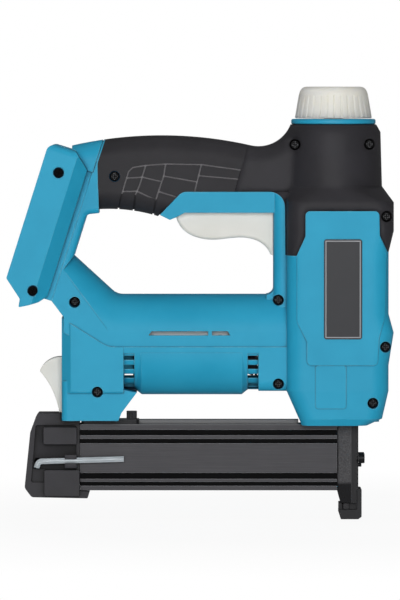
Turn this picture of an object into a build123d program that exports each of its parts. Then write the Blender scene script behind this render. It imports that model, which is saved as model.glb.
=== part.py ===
from build123d import *
import os
from math import cos, pi, radians, sin, sqrt, tan

# Cordless stapler, sizes in millimetres.
# The origin is the middle of the nose tip's work face, +X is forward, +Z is up, -Y is the tool's right side.

# Shell thicknesses and general clearances
WALL = 3.0
GRIP_SKIN = 2.0
PANEL_RISE = 1.2
FIT = 0.1
RUN = 0.08
GAP = 0.4
REACH = 60.0

# Head and power knob, both on one upright axis
HEAD_X = -12.5
HEAD_HALF = 37.0
HEAD_CORNER = 11.0
HEAD_REAR = -43.2
HEAD_FRONT = 22.7
HEAD_EAR = 3.3
HEAD_SHOULDER_Z = 206.0
NECK_R = 31.6
NECK_Z = 216.0
HEAD_TOP_Z = 256.1
HEAD_TOP_R = 27.8
COLLAR_R = 27.4
COLLAR_T = 3.6
KNOB_R = 24.8
KNOB_WAIST_R = 22.2
KNOB_CROWN_R = 19.0
KNOB_H = 20.6
KNOB_FLUTE = 0.6
KNOB_RIBS = 16
KNOB_TURN = 270.0

# Handle loop
HANDLE_HALF = 17.0
HANDLE_ROUND = 12.0
HANDLE_TOP_Z = 249.0
HANDLE_MID_X = -121.0
GRIP_BOTTOM_Z = 196.6
GRIP_REAR_X = -164.5
STRIP_BOTTOM_Z = 199.0
STRIP_TOP_Z = 212.6
STRIP_HALF = 17.6
LOOP_FRONT_X = -51.5
LOOP_POST_HALF = 21.0
LOOP_CORNER = 4.5
POST_T = 5.0
POST_HALF = 23.4
POST_LEAN = 0.1125
POST_SKEW = 0.0279

# Motor barrel and rear box
DECK_TOP_Z = 146.0
DECK_HALF = 27.2
DECK_ROUND = 24.0
BARREL_Z = 112.0
BARREL_R = 28.1
BULGE_DROP = 3.2
STEP_Z = 112.6
NECK_HALF = 28.0
BULGE_REAR = -137.0
BULGE_FRONT = -72.0
BOX_REAR = -188.5
BOX_FRONT = -140.0
BOX_HALF = 28.4
BOX_BROW_Z = 131.4
BOX_FLOOR_Z = 82.5
FOOT_Z = 64.7
FOOT_HALF = 26.0
FOOT_CREST = 2.3
VENT_REAR_X = -145.0
VENT_FRONT_X = -64.8
VENT_W = 7.0
VENT_H = 2.7
VENT_PITCH = 6.0
VENT_TOP_Z = 105.6
VENT_SINK = 0.8
SLOT_Z = 121.4
SLOT_H = 2.6

# Battery guard, in its own tilted frame: p along the tool, q up the rail
GUARD_X = -194.1
GUARD_Z = 145.1
GUARD_TILT = 17.5
GUARD_HALF = 37.0
GUARD_DEPTH = 32.1
GUARD_TOP = 94.0
GUARD_WALL = 3.0
GUARD_NECK = 3.4
GUARD_FACET = 8.5
GUARD_SLOPE = 14.2
GUARD_SLOPE_DROP = 9.5
GUARD_BROW_R = 5.0
RAIL_DEPTH = 5.5

# Housing screws: place on the side and depth of the head's seat, from the middle plane
SCREW_R = 1.5
SCREW_HEAD_R = 3.1
SCREW_HEAD_H = 2.2
WELL_R = 3.6
BOSS_R = 3.4
WELL_WALL = 1.6
SCREW_GRIP = 9.0
SCREWS = [(-154.4, 222.6, 12.5), (-37.7, 243.1, 12.0), (10.4, 243.4, 15.0), (21.1, 197.0, 29.0),
          (20.5, 112.8, 28.0), (12.4, 76.6, 29.5), (-48.4, 88.6, 20.0), (-48.4, 142.6, 14.0),
          (-165.4, 83.4, 22.0), (-180.1, 141.4, 12.0)]

# Rating plate
PLATE_X = -7.0
PLATE_Z = 150.2
PLATE_W = 24.4
PLATE_H = 64.3
PLATE_T = 0.6

# Drive: motor and gears along X, striker along Z
MOTOR_Z = 110.0
CAN_R = 20.0
CAN_REAR = -136.0
CAN_FRONT = -80.0
END_CAP_L = 6.5
SHAFT_R = 2.5
FAN_R = 17.5
FAN_X = -66.0
FAN_L = 8.0
FAN_BLADES = 9
GEAR_MODULE = 0.65
SUN_TEETH = 12
PLANET_TEETH = 18
RING_TEETH = SUN_TEETH + 2 * PLANET_TEETH
PLANETS = 3
GEAR_REAR = -58.5
GEAR_L = 10.5
CASE_R = 18.6
OUTPUT_R = 5.0
BEARING_R = 9.0
BEARING_L = 3.2
LIFTER_X = -38.4
LIFTER_T = 3.2
LIFT_R = 14.0
LIFT_PIN_R = 2.0
LIFT_PINS = 5
LIFT_STEP = 36.0
LIFT_PIN_L = 6.4
LUG_GAP = 1.0
STROKE = 38.0
ROD_R = 8.0
PISTON_R = 16.5
PISTON_Z = 158.0
PISTON_T = 10.0
BORE_R = 17.0
CYLINDER_R = 19.0
CYLINDER_Z = 147.0
CYLINDER_TOP = 247.0
SEAT_Z = 236.0
SEAT_T = 6.0
SEAT_LEAD = 6.0
SPINDLE_R = 6.0
SPRING_WIRE_R = 1.6
SPRING_R = 12.6
SPRING_TURNS = 7.0
BLADE_T = 1.2
BLADE_W = 6.0
BLADE_TIP_Z = 8.0
CARRIAGE_Z = 72.0
CARRIAGE_TOP = 106.0

# Trigger
TRIGGER_HALF = 9.0
TRIGGER_PIN_X = -57.0
TRIGGER_PIN_Z = 206.0
TRIGGER_PIN_R = 2.0
TRIGGER_REAR_X = -114.7
TRIGGER_SPRING_TOP = 231.0
TRIGGER_WIRE_R = 0.5

# Nose, contact strap and tip
NOSE_REAR = -10.2
NOSE_HALF = 11.0
NOSE_END_Z = 10.7
CHANNEL_HALF_T = 1.0
FRONT_PLATE_T = 1.4
STRAP_T = 1.2
STRAP_HALF = 8.0
TIP_TRAVEL = 4.0
CONTACT_WIRE_R = 0.4
CONTACT_SPRING_L = 9.6
HOOK_HALF = 8.0
HOOK_X = -9.0
HOOK_T = 2.2
FOOT_REAR = -6.1
FOOT_L = 3.9
NOSE_SCREW_Z = 39.4
NOSE_SCREW_Y = 5.8
NOSE_SCREW_R = 3.3

# Magazine
MAG_FRONT = NOSE_REAR
MAG_REAR = -177.0
MAG_HALF = 12.0
MAG_Z = 18.85
MAG_TOP = 61.75
MAG_RIB_TOP = 64.35
MAG_GROOVE = 2.0
STAPLE_HALF = 3.2
CORE_HALF = 1.7
CORE_TOP = 44.0
TRACK_TOP = 47.0
ATTIC_HALF = 9.0
ATTIC_TOP = 59.0
SHOE_HALF = 8.0
SHOE_T = 4.2
CAP_HALF = 13.0
CAP_CLIP_HALF = 16.5
CAP_FIELD = 2.0
CAP_REAR = -212.9
KEY_AF = 3.0
KEY_Y = -14.9
KEY_Z = 38.5
KEY_LONG_END = -148.5
KEY_BEND_X = -204.4

# Latch
LATCH_HALF = 8.0
LATCH_PIN_X = -183.0
LATCH_PIN_Z = 74.0
LATCH_PIN_R = 1.5
LATCH_ARM_Z = 75.2
LATCH_ARM_L = 12.0
LATCH_SPRING_X = LATCH_PIN_X + 9.0
LATCH_WIRE_R = 0.5

# Worked out from the sizes above
HEAD_BASE_Z = MAG_TOP + FIT
STRAP_TOP = HEAD_BASE_Z + 10
KNOB_Z = HEAD_TOP_Z + COLLAR_T + 0.3
CENTRE_DISTANCE = GEAR_MODULE * (SUN_TEETH + PLANET_TEETH) / 2
GEAR_FRONT = GEAR_REAR + GEAR_L
LIFT_PITCH = LIFT_R * radians(LIFT_STEP)
GUARD = Pos(GUARD_X, 0, GUARD_Z) * Rot(0, GUARD_TILT, 0)
KNOB_AXIS = Pos(HEAD_X, 0, 0)


def block(x0, x1, y0, y1, z0, z1):
    return Pos((x0 + x1) / 2, (y0 + y1) / 2, (z0 + z1) / 2) * Box(x1 - x0, y1 - y0, z1 - z0)


def rod_x(x0, x1, r, y=0.0, z=0.0):
    return Pos((x0 + x1) / 2, y, z) * Rot(0, 90, 0) * Cylinder(r, x1 - x0)


def rod_y(y0, y1, r, x=0.0, z=0.0):
    return Pos(x, (y0 + y1) / 2, z) * Rot(90, 0, 0) * Cylinder(r, y1 - y0)


def rod_z(z0, z1, r, x=0.0, y=0.0):
    return Pos(x, y, (z0 + z1) / 2) * Cylinder(r, z1 - z0)


def side_face(points, radius=0.0):
    corners = [(x, 0, z) for x, z in points]
    return make_face(FilletPolyline(*corners, radius=radius, close=True))


def side_plate(points, y0, y1, radius=0.0):
    face = Pos(0, y0, 0) * side_face(points, radius)
    return extrude(face, amount=y1 - y0, dir=(0, 1, 0))


def slab(face, half):
    return extrude(face, amount=half, dir=(0, 1, 0)) + extrude(face, amount=half, dir=(0, -1, 0))


def inset(face, t):
    if t == 0:
        return face
    return offset(face, amount=-t, kind=Kind.INTERSECTION)


def both_sides(shape):
    return shape + mirror(shape, Plane.XZ)


def coil(radius, wire, height, turns):
    path = Helix(pitch=height / turns, height=height, radius=radius)
    section = Plane(origin=path @ 0, z_dir=path % 0) * Circle(wire)
    return sweep(section, path=path)


# Outer forms of the housing; t moves every face inwards by that much

def head_section(z, rear, front, half, corner, t):
    width = front - rear - 2 * t
    rounded = RectangleRounded(width, 2 * (half - t), corner - t)
    return Pos((rear + front) / 2, 0, z) * rounded


def head_form(t):
    rear, front, half, corner = HEAD_REAR, HEAD_FRONT, HEAD_HALF, HEAD_CORNER
    ear = front + HEAD_EAR
    round_r = NECK_R - 0.6
    levels = [
        (HEAD_BASE_Z + t, rear + 9.8, front - 13.7, half - 4, corner - 3),
        (HEAD_BASE_Z + 4.4 + t, rear + 8.0, front - 4.1, half - 1, corner),
        (HEAD_BASE_Z + 22.4, rear, front, half, corner),
        (HEAD_BASE_Z + 39.0, rear, front, half, corner),
        (HEAD_BASE_Z + 60.0, rear, ear, half, corner),
        (HEAD_BASE_Z + 72.0, rear, front, half, corner),
        (HEAD_SHOULDER_Z - 32.0, rear, front, half, corner),
        (HEAD_SHOULDER_Z - 18.5, rear, ear, half, corner),
        (HEAD_SHOULDER_Z, rear, ear, half, corner),
        (NECK_Z, HEAD_X - NECK_R, HEAD_X + NECK_R, NECK_R, round_r),
        (HEAD_TOP_Z - 4.9, HEAD_X - NECK_R + 1, HEAD_X + NECK_R - 1, NECK_R - 1, round_r - 1),
        (HEAD_TOP_Z - t, HEAD_X - HEAD_TOP_R, HEAD_X + HEAD_TOP_R, HEAD_TOP_R, HEAD_TOP_R - 0.6),
    ]
    return loft([head_section(*level, t) for level in levels], ruled=True)


def grip_form(t):
    rear_x, front_x = HANDLE_MID_X - 61, HANDLE_MID_X + 55
    sag = 6.5
    crown = ThreePointArc((rear_x, 0, HANDLE_TOP_Z - sag), (HANDLE_MID_X, 0, HANDLE_TOP_Z),
                          (front_x, 0, HANDLE_TOP_Z - sag))
    saddle = TangentArc(crown @ 1, (HEAD_X - HEAD_TOP_R, 0, HEAD_TOP_Z), tangent=crown % 1)
    belly_front = HANDLE_MID_X - 5.4
    belly = ThreePointArc((belly_front, 0, GRIP_BOTTOM_Z), (HANDLE_MID_X - 32, 0, GRIP_BOTTOM_Z + 4.6),
                          (rear_x, 0, GRIP_BOTTOM_Z + 2))
    front = Polyline(saddle @ 1, (HEAD_X, 0, HEAD_TOP_Z), (HEAD_X, 0, STRIP_BOTTOM_Z + 7),
                     (belly_front + 9, 0, STRIP_BOTTOM_Z + 7), belly @ 0)
    face = make_face(Curve() + [crown, saddle, front, belly, Line(belly @ 1, crown @ 0)])
    body = slab(inset(face, t), HANDLE_HALF - t)
    long_edges = [e for e in body.edges()
                  if e.geom_type == GeomType.CIRCLE and abs(abs(e.center().Y) - HANDLE_HALF + t) < 0.01]
    return fillet(long_edges, HANDLE_ROUND - t)


def strip_form(t):
    rear = TRIGGER_REAR_X
    points = [(rear - 10.4, STRIP_BOTTOM_Z - 1.4), (rear - 3.9, STRIP_BOTTOM_Z - 4.6),
              (rear, STRIP_BOTTOM_Z - 3), (rear + 5.7, STRIP_BOTTOM_Z), (HEAD_REAR + 8, STRIP_BOTTOM_Z),
              (HEAD_REAR + 8, STRIP_TOP_Z), (rear + 4, STRIP_TOP_Z)]
    return slab(inset(side_face(points, [0, 0, 0, 0, 0, 0, 6]), t), STRIP_HALF - t)


def loop_post_form(t):
    points = [(LOOP_FRONT_X, DECK_TOP_Z - 8), (HEAD_REAR + 10, DECK_TOP_Z - 8),
              (HEAD_REAR + 10, STRIP_TOP_Z), (LOOP_FRONT_X, STRIP_TOP_Z)]
    body = slab(inset(side_face(points), t), LOOP_POST_HALF - t)
    edges = body.edges().filter_by(Axis.Z).group_by(Axis.X)[0]
    return fillet(edges, 6.0 - t)


def guard_point(p, q):
    spot = (GUARD * Pos(p, 0, q)).position
    return (spot.X, spot.Z)


def strut_line():
    # The loop's slanted rear edge: its upper and lower end, and the way from it into the strut
    top, foot = guard_point(POST_T, 29), (HANDLE_MID_X - 32, DECK_TOP_Z)
    along = Vector(foot[0] - top[0], 0, foot[1] - top[1]).normalized()
    return top, foot, Vector(along.Z, 0, -along.X)


def into_strut(depth):
    top, foot, inward = strut_line()
    return (top[0] + depth * inward.X, top[1] + depth * inward.Z)


def post_sides(t):
    # All that lies outside the post's leaning sides, which taper it towards the handle
    x, z = into_strut(11)
    side = Plane(origin=(x, POST_HALF - t, z), z_dir=(POST_SKEW, 1, POST_LEAN))
    return both_sides(side * Pos(0, 0, REACH) * Box(4 * REACH, 4 * REACH, 2 * REACH))


def rear_post_form():
    top, corner = strut_line()[0], guard_point(POST_T, 57)
    points = [guard_point(0, 16), guard_point(0, GUARD_TOP + 2), (GRIP_REAR_X - 0.9, HANDLE_TOP_Z - 18),
              (GRIP_REAR_X, STRIP_BOTTOM_Z - 0.2), corner, top]
    body = slab(side_face(points, [0, 0, 0, 0, 3, 0]), REACH / 2) - post_sides(0)
    middle = Vector((top[0] + corner[0]) / 2, 0, (top[1] + corner[1]) / 2)
    loop_edges = [e for e in body.edges() if abs(e.center().Y) > POST_HALF / 2
                  and abs(e.center().X - middle.X) < 3 and abs(e.center().Z - middle.Z) < 3]
    return fillet(loop_edges, 3.5)


def deck_form(t):
    # Deck and strut in one, rolled over along the loop's edge
    top, foot, inward = strut_line()
    rear = BOX_REAR + 1.3
    points = [top, foot, (HEAD_REAR + 10, DECK_TOP_Z), (HEAD_REAR + 10, BARREL_Z - 6),
              (BOX_FRONT - 20, BARREL_Z - 6), (rear, BARREL_Z + 10), into_strut(30)]
    body = slab(inset(side_face(points, [0, 10, 0, 0, 0, 0, 0]), t), DECK_HALF - t)
    loop_edges = [e for e in body.edges() if abs(abs(e.center().Y) - DECK_HALF + t) < 0.01
                  and e.center().Z > DECK_TOP_Z - t - 1 and e.center().X > (top[0] + foot[0]) / 2 - 6]
    body = fillet(loop_edges, DECK_ROUND - t)
    low, high = (BOX_FRONT - 19.5, DECK_TOP_Z - 21), into_strut(11)
    lift = (high[0] + 0.3 * (high[0] - low[0]), high[1] + 0.3 * (high[1] - low[1]))
    band = side_plate([lift, low, (low[0] + 6, BARREL_Z - 10), (BOX_REAR - 20, BARREL_Z - 10),
                       (BOX_REAR - 20, lift[1])], -REACH, REACH)
    body = body - (post_sides(t) & band)
    limit = [guard_point(t, -3), guard_point(t, 60), (HEAD_FRONT, guard_point(t, 60)[1]), (HEAD_FRONT, FOOT_Z),
             (rear + t, FOOT_Z), (rear + t, BARREL_Z + 20 - t / 3)]
    return body & side_plate(limit, -REACH, REACH)


def loop_corner_form():
    side = LOOP_POST_HALF - 6
    x, z = LOOP_FRONT_X - LOOP_CORNER, DECK_TOP_Z + LOOP_CORNER
    return block(x, LOOP_FRONT_X + 3, -side, side, DECK_TOP_Z - 8, z) - rod_y(-REACH, REACH, LOOP_CORNER, x, z)


def barrel_form(t):
    taper = 4.0
    top = STEP_Z - t / 3
    plain = rod_x(BOX_FRONT - 14, HEAD_REAR + 10, BARREL_R - t, z=BARREL_Z)
    plain = plain & block(BOX_REAR, HEAD_FRONT, -REACH, REACH, FOOT_Z, top)
    axis_z, low, high = BARREL_Z - BULGE_DROP, BARREL_R - t, BARREL_R - BULGE_DROP - t
    outline = Polyline((BULGE_REAR - taper + t, 0, axis_z), (BULGE_REAR - taper + t, 0, axis_z - high),
                       (BULGE_REAR + t, 0, axis_z - low), (BULGE_FRONT - t, 0, axis_z - low),
                       (BULGE_FRONT + taper - t, 0, axis_z - high), (BULGE_FRONT + taper - t, 0, axis_z), close=True)
    bulge = revolve(make_face(outline), Axis((0, 0, axis_z), (1, 0, 0)))
    lower = block(BULGE_REAR - 2 * taper, BULGE_FRONT + 2 * taper, -REACH, REACH, FOOT_Z, axis_z)
    return plain + (bulge & lower)


def gear_neck_form(t):
    body = block(VENT_FRONT_X + VENT_W / 2 + t, HEAD_REAR + 10, -NECK_HALF + t, NECK_HALF - t,
                 BARREL_Z - BARREL_R + t, STEP_Z - t / 3)
    edges = body.edges().filter_by(Axis.X).group_by(Axis.Z)[0]
    return fillet(edges, 7.0 - t)


def rear_box_form(t):
    floor, brow = BOX_FLOOR_Z + t, BOX_BROW_Z - t
    front = VENT_REAR_X - VENT_W / 2 - t
    points = [(BOX_REAR + t, floor), (front, floor), (front, STEP_Z - t),
              (BOX_FRONT - 18.5, STEP_Z - t), (BOX_REAR + t, brow)]
    body = slab(side_face(points, [0, 0, 0, 15, 0]), BOX_HALF - t)
    body = chamfer(body.edges().filter_by(Axis.Z).group_by(Axis.X)[0], 6.0 - t / 2)
    if t > 0:
        return body
    floor_edges = [e for e in body.edges().filter_by(Axis.X) if abs(e.center().Z - floor) < 0.01]
    return chamfer(floor_edges, 1.2)


def foot_form(t):
    # Its crest passes under the rear vents
    vent, roof = VENT_REAR_X - VENT_W / 2, BOX_FLOOR_Z + 8
    points = [(BOX_REAR, FOOT_Z), (BOX_FRONT - 11.8, FOOT_Z), (BOX_FRONT - 9.8, FOOT_Z + 5.2),
              (BOX_FRONT, BOX_FLOOR_Z + 0.4), (vent, BOX_FLOOR_Z + FOOT_CREST), (vent, roof), (BOX_REAR, roof)]
    body = slab(inset(side_face(points), t), FOOT_HALF - t)
    edges = body.edges().filter_by(Axis.Z).group_by(Axis.X)[0]
    return fillet(edges, 4.0)


def whole_form(t):
    body = head_form(t) + grip_form(t)
    for form in (strip_form, loop_post_form, deck_form, barrel_form, gear_neck_form, rear_box_form, foot_form):
        body = body + form(t)
    if t > 0:
        return body
    # The upright behind the handle and the loop's corner are too thin to hollow
    return body + rear_post_form() + loop_corner_form()


# Zones that part the shell into colours, seen from the side

def head_cover_zone():
    seam_x = HANDLE_MID_X + 53
    points = [(seam_x, HEAD_TOP_Z + 20), (seam_x, HANDLE_TOP_Z - 6.2), (seam_x - 8.5, STRIP_TOP_Z),
              (HEAD_REAR - 1, STRIP_TOP_Z), (HEAD_REAR - 0.7, HEAD_SHOULDER_Z - 34.2),
              (HEAD_REAR + 6.3, HEAD_SHOULDER_Z - 34.4), (HEAD_REAR + 12, HEAD_SHOULDER_Z - 21.7),
              (HEAD_REAR + 12, HEAD_SHOULDER_Z - 5.5), (HEAD_FRONT - 6.4, HEAD_SHOULDER_Z - 5.5),
              (HEAD_FRONT - 6.1, HEAD_SHOULDER_Z - 21.1), (HEAD_FRONT - 0.9, HEAD_SHOULDER_Z - 31.8),
              (HEAD_FRONT + 20, HEAD_SHOULDER_Z - 31.8), (HEAD_FRONT + 20, HEAD_TOP_Z + 20)]
    radii = [0, 0, 0, 10, 0, 0, 1, 3, 3, 1, 0, 0, 0]
    return side_plate(points, -REACH, REACH, radii)


def grip_zone():
    seam_x = HANDLE_MID_X + 53
    rear = GRIP_REAR_X
    points = [(seam_x, HEAD_TOP_Z), (seam_x, HANDLE_TOP_Z - 6.2), (seam_x - 8.5, STRIP_TOP_Z),
              (TRIGGER_REAR_X + 4, STRIP_TOP_Z), (TRIGGER_REAR_X - 10.4, STRIP_BOTTOM_Z - 1.4),
              (TRIGGER_REAR_X - 12, GRIP_BOTTOM_Z - 10), (rear, GRIP_BOTTOM_Z - 10),
              (rear - 0.9, HANDLE_TOP_Z - 18), (rear + 4, HANDLE_TOP_Z - 3), (rear + 4, HEAD_TOP_Z)]
    radii = [0, 0, 0, 6, 0, 0, 0, 8, 0, 0]
    return side_plate(points, -REACH, REACH, radii)


def panel_zone():
    points = [(HEAD_REAR + 12, HEAD_SHOULDER_Z - 5.5), (HEAD_REAR + 12, HEAD_SHOULDER_Z - 21.7),
              (HEAD_REAR + 6.5, HEAD_SHOULDER_Z - 33.4), (HEAD_REAR + 6.5, HEAD_BASE_Z + 67.4),
              (HEAD_REAR + 13, HEAD_BASE_Z + 54.4), (HEAD_REAR + 13, HEAD_BASE_Z + 39.2),
              (HEAD_FRONT - 7.4, HEAD_BASE_Z + 39.2), (HEAD_FRONT - 6.4, HEAD_BASE_Z + 57),
              (HEAD_FRONT - 2.5, HEAD_BASE_Z + 70.7), (HEAD_FRONT - 1.6, HEAD_SHOULDER_Z - 32.1),
              (HEAD_FRONT - 6.1, HEAD_SHOULDER_Z - 21.1), (HEAD_FRONT - 6.4, HEAD_SHOULDER_Z - 5.5)]
    radii = [3, 1, 3, 3, 3, 3, 3, 3, 3, 1, 1, 3]
    return side_plate(points, -REACH, REACH, radii)


def apron_zone():
    points = [(HEAD_X - 12.2, HEAD_BASE_Z + 11.2), (HEAD_X + 7.6, HEAD_BASE_Z + 11.2),
              (HEAD_X + 7.6, HEAD_BASE_Z + 39.2), (HEAD_X - 12.2, HEAD_BASE_Z + 39.2)]
    return side_plate(points, -REACH, REACH, 2.0)


# Grooves in the soft grip: a bowed top line, rows below it and leaning uprights, as side-view points
GROOVE_W = 1.1
GROOVE_DEPTH = 0.8
GROOVES = [
    [(-152.8, 196.0), (-151.6, 204.3), (-148.0, 216.8), (-145.3, 225.7), (-142.7, 228.3), (-134.2, 229.7),
     (-121.3, 230.6), (-98.2, 230.2), (-72.3, 226.6), (-76.5, 211.0)],
    [(-134.2, 229.7), (-138.2, 216.8), (-140.9, 210.5), (-143.0, 195.0)],
    [(-121.3, 230.6), (-122.6, 223.0), (-127.5, 207.9), (-130.2, 194.0)],
    [(-98.2, 230.2), (-103.0, 211.0)],
    [(-146.6, 221.4), (-136.4, 222.1), (-124.9, 219.4)],
    [(-122.6, 222.8), (-101.2, 219.0)],
    [(-99.8, 223.0), (-74.0, 220.8)],
    [(-149.2, 212.8), (-139.9, 213.0), (-127.8, 207.3)],
    [(-126.2, 212.8), (-114.0, 209.2)],
]


def groove_bar(start, end):
    run = Vector(end[0] - start[0], 0, end[1] - start[1])
    place = Plane(origin=((start[0] + end[0]) / 2, 0, (start[1] + end[1]) / 2), x_dir=run, z_dir=(0, 1, 0))
    return place * Box(run.length, GROOVE_W, 2 * REACH) + rod_y(-REACH, REACH, GROOVE_W / 2, end[0], end[1])


def groove_tool():
    tool = Part()
    for run in GROOVES:
        for start, end in zip(run, run[1:]):
            tool = tool + groove_bar(start, end)
    return tool


def boss_set(outer):
    bosses = Part()
    for x, z, seat in SCREWS:
        bosses = bosses + rod_y(-REACH, REACH, BOSS_R, x, z)
        bosses = bosses + rod_y(-REACH, -seat + 2, WELL_R + WELL_WALL, x, z)
    room = rod_x(GEAR_REAR - 8, LIFTER_X + 8, CASE_R + FIT, z=MOTOR_Z)
    return (bosses & outer) - room


def screw_holes():
    holes = Part()
    for x, z, seat in SCREWS:
        holes = holes + rod_y(-REACH, -seat, WELL_R, x, z)
        holes = holes + rod_y(-seat - 1, SCREW_GRIP + 2, SCREW_R + FIT, x, z)
    return holes


def cross_head_screw(x, z, seat, tip):
    head = rod_y(-seat - SCREW_HEAD_H, -seat, SCREW_HEAD_R, x, z)
    head = fillet(head.edges().sort_by(Axis.Y)[0], 0.8)
    cross = block(x - 1.9, x + 1.9, -seat - 9, -seat - SCREW_HEAD_H + 1.3, z - 0.45, z + 0.45)
    cross = cross + block(x - 0.45, x + 0.45, -seat - 9, -seat - SCREW_HEAD_H + 1.3, z - 1.9, z + 1.9)
    return head - cross + rod_y(-seat - 0.5, tip, SCREW_R, x, z)


def housing_screws():
    return [cross_head_screw(x, z, seat, SCREW_GRIP) for x, z, seat in SCREWS]


# Ribs that hold the drive, cut to the pieces they hold

def rib_set(outer):
    t = 2.4
    ribs = Part()
    for x in (CAN_REAR + 6, CAN_FRONT - 6):
        ribs = ribs + block(x - t / 2, x + t / 2, -REACH, REACH, FOOT_Z, DECK_TOP_Z)
    case_mid = (GEAR_REAR + GEAR_FRONT) / 2
    ribs = ribs + block(case_mid - t / 2, case_mid + t / 2, -REACH, REACH, BARREL_Z - BARREL_R, DECK_TOP_Z)
    for z in (CYLINDER_Z + 10, CYLINDER_Z + 40, CYLINDER_TOP - 12):
        ribs = ribs + block(HEAD_REAR - 2, HEAD_FRONT + 6, -REACH, REACH, z, z + t)
    ribs = ribs + block(HEAD_REAR, HEAD_FRONT, -REACH, REACH, CYLINDER_TOP + 0.2, CYLINDER_TOP + 3.8)
    ribs = ribs & outer
    ribs = ribs - rod_x(CAN_REAR - 20, CAN_FRONT + 5, CAN_R + FIT, z=MOTOR_Z)
    ribs = ribs - rod_x(GEAR_REAR - 8, LIFTER_X + 8, CASE_R + FIT, z=MOTOR_Z)
    ribs = ribs - rod_z(CYLINDER_Z - 4, CYLINDER_TOP + 0.1, CYLINDER_R + FIT, HEAD_X)
    ribs = ribs - rod_z(CYLINDER_TOP, CYLINDER_TOP + 5, CYLINDER_R + 3 + FIT, HEAD_X)
    return ribs + (vent_webs() & outer)


def vent_webs():
    # Webs on the middle plane behind the vents, with a way for the wires at the third rear vent
    t, end = 1.5, CAN_REAR - END_CAP_L - FIT
    rear, high = VENT_REAR_X - 4, VENT_TOP_Z - 9
    web = block(rear, VENT_REAR_X + 4, -t, t, FOOT_Z, MOTOR_Z - CAN_R - 0.3)
    web = web + block(rear, end, -t, t, high, MOTOR_Z - SHAFT_R - 0.6)
    web = web + block(rear, end - 3, -t, t, high, DECK_TOP_Z)
    return web + block(VENT_FRONT_X - 4, VENT_FRONT_X + 4, -t, t, FOOT_Z, MOTOR_Z - CASE_R - 0.5)


def inner_supports(outer):
    # Rails for the trigger pin and switch, latch pin and board, each from wall to wall
    pads = block(TRIGGER_PIN_X - 4, TRIGGER_PIN_X + 4, -STRIP_HALF, STRIP_HALF, TRIGGER_PIN_Z - 5, TRIGGER_PIN_Z + 5)
    pads = pads - block(TRIGGER_PIN_X - 9, TRIGGER_PIN_X + 9, -TRIGGER_HALF - GAP, TRIGGER_HALF + GAP, 190, 220)
    switch = block(-98, -95.6, -HANDLE_HALF, HANDLE_HALF, 218, 242)
    switch = switch + block(-76.4, -74, -HANDLE_HALF, HANDLE_HALF, 218, 242)
    switch = switch - block(-105, -70, -8.6 - FIT, 8.6 + FIT, 217.9, 236.1)
    rest_z = TRIGGER_SPRING_TOP + TRIGGER_WIRE_R + FIT
    pads = pads + switch + block(-108, -100, -HANDLE_HALF, HANDLE_HALF, rest_z, rest_z + 2.4)
    latch = block(LATCH_PIN_X - 4, LATCH_PIN_X + 4, -FOOT_HALF, FOOT_HALF, FOOT_Z, LATCH_PIN_Z + 4)
    latch = latch - block(LATCH_PIN_X - 9, LATCH_PIN_X + 9, -LATCH_HALF - 0.4, LATCH_HALF + 0.4, 60, 100)
    pads = pads + latch
    board = block(-172, -170, 8, BOX_HALF, 85, 110) + block(-158, -156, 8, BOX_HALF, 85, 110)
    pads = pads + (board - block(-183, -150, 12, 13.6 + 2 * FIT, 88, 120))
    return pads & outer


def vent_cuts():
    cuts = Part()
    for x in (VENT_REAR_X, VENT_FRONT_X):
        for i in range(4):
            z = VENT_TOP_Z - i * VENT_PITCH
            cuts = cuts + block(x - VENT_W / 2, x + VENT_W / 2, 3, REACH, z - VENT_H / 2, z + VENT_H / 2)
    return both_sides(cuts)


def slot_cuts():
    low, high = SLOT_Z - SLOT_H / 2, SLOT_Z + SLOT_H / 2
    long_slot = [(-132.3, low), (-93.9, low), (-93.9, high), (-130.3, high)]
    short_slot = [(-91.3, low), (-79.6, low), (-81.2, high), (-91.3, high)]
    return side_plate(long_slot, -REACH, REACH) + side_plate(short_slot, -REACH, REACH)


def work_openings():
    # Trigger slot, nose opening, latch slot, knob hole, cut for the battery guard
    cut = block(TRIGGER_REAR_X - 1.9, LOOP_FRONT_X + 2.6, -TRIGGER_HALF - GAP, TRIGGER_HALF + GAP,
                STRIP_BOTTOM_Z - 10, STRIP_BOTTOM_Z + WALL + 1)
    cut = cut + block(LOOP_FRONT_X - 1, LOOP_FRONT_X + 2.6, -TRIGGER_HALF - GAP, TRIGGER_HALF + GAP,
                      STRIP_BOTTOM_Z, TRIGGER_PIN_Z + 5)
    cut = cut + block(TRIGGER_REAR_X - 2.4, TRIGGER_PIN_X - 20, -TRIGGER_HALF - GAP, TRIGGER_HALF + GAP,
                      STRIP_BOTTOM_Z, STRIP_TOP_Z)
    cut = cut + block(NOSE_REAR - FIT, 3.6 + GAP, -NOSE_HALF - FIT, NOSE_HALF + FIT, HEAD_BASE_Z - 5, HEAD_BASE_Z + 8)
    cut = cut + block(BOX_REAR - 5, BOX_REAR + WALL + 1, -LATCH_HALF - 0.4, LATCH_HALF + 0.4, FOOT_Z - 1, 108)
    cut = cut + block(BOX_REAR - 5, LATCH_PIN_X + 5, -LATCH_HALF - 0.4, LATCH_HALF + 0.4, FOOT_Z - 1, FOOT_Z + WALL + 1)
    cut = cut + rod_z(HEAD_TOP_Z - WALL - 2, HEAD_TOP_Z + 5, HEAD_TOP_R - WALL, HEAD_X)
    cut = cut + GUARD * slab(offset(guard_outline(), amount=FIT, kind=Kind.INTERSECTION), REACH)
    cut = cut + GUARD * block(-GUARD_NECK - 1, 0, -REACH, REACH, -30, GUARD_TOP - 10 + FIT)
    seam = GUARD * block(0.2, 0.8, -REACH, REACH, GUARD_TOP - 10, GUARD_TOP + 20)
    return cut + (seam & (grip_form(0) - grip_form(0.6)))


def lamp_hood():
    hood = rod_z(HEAD_BASE_Z + 1.0, HEAD_BASE_Z + 9, 3.4, HEAD_X + 26.5)
    return hood


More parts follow.
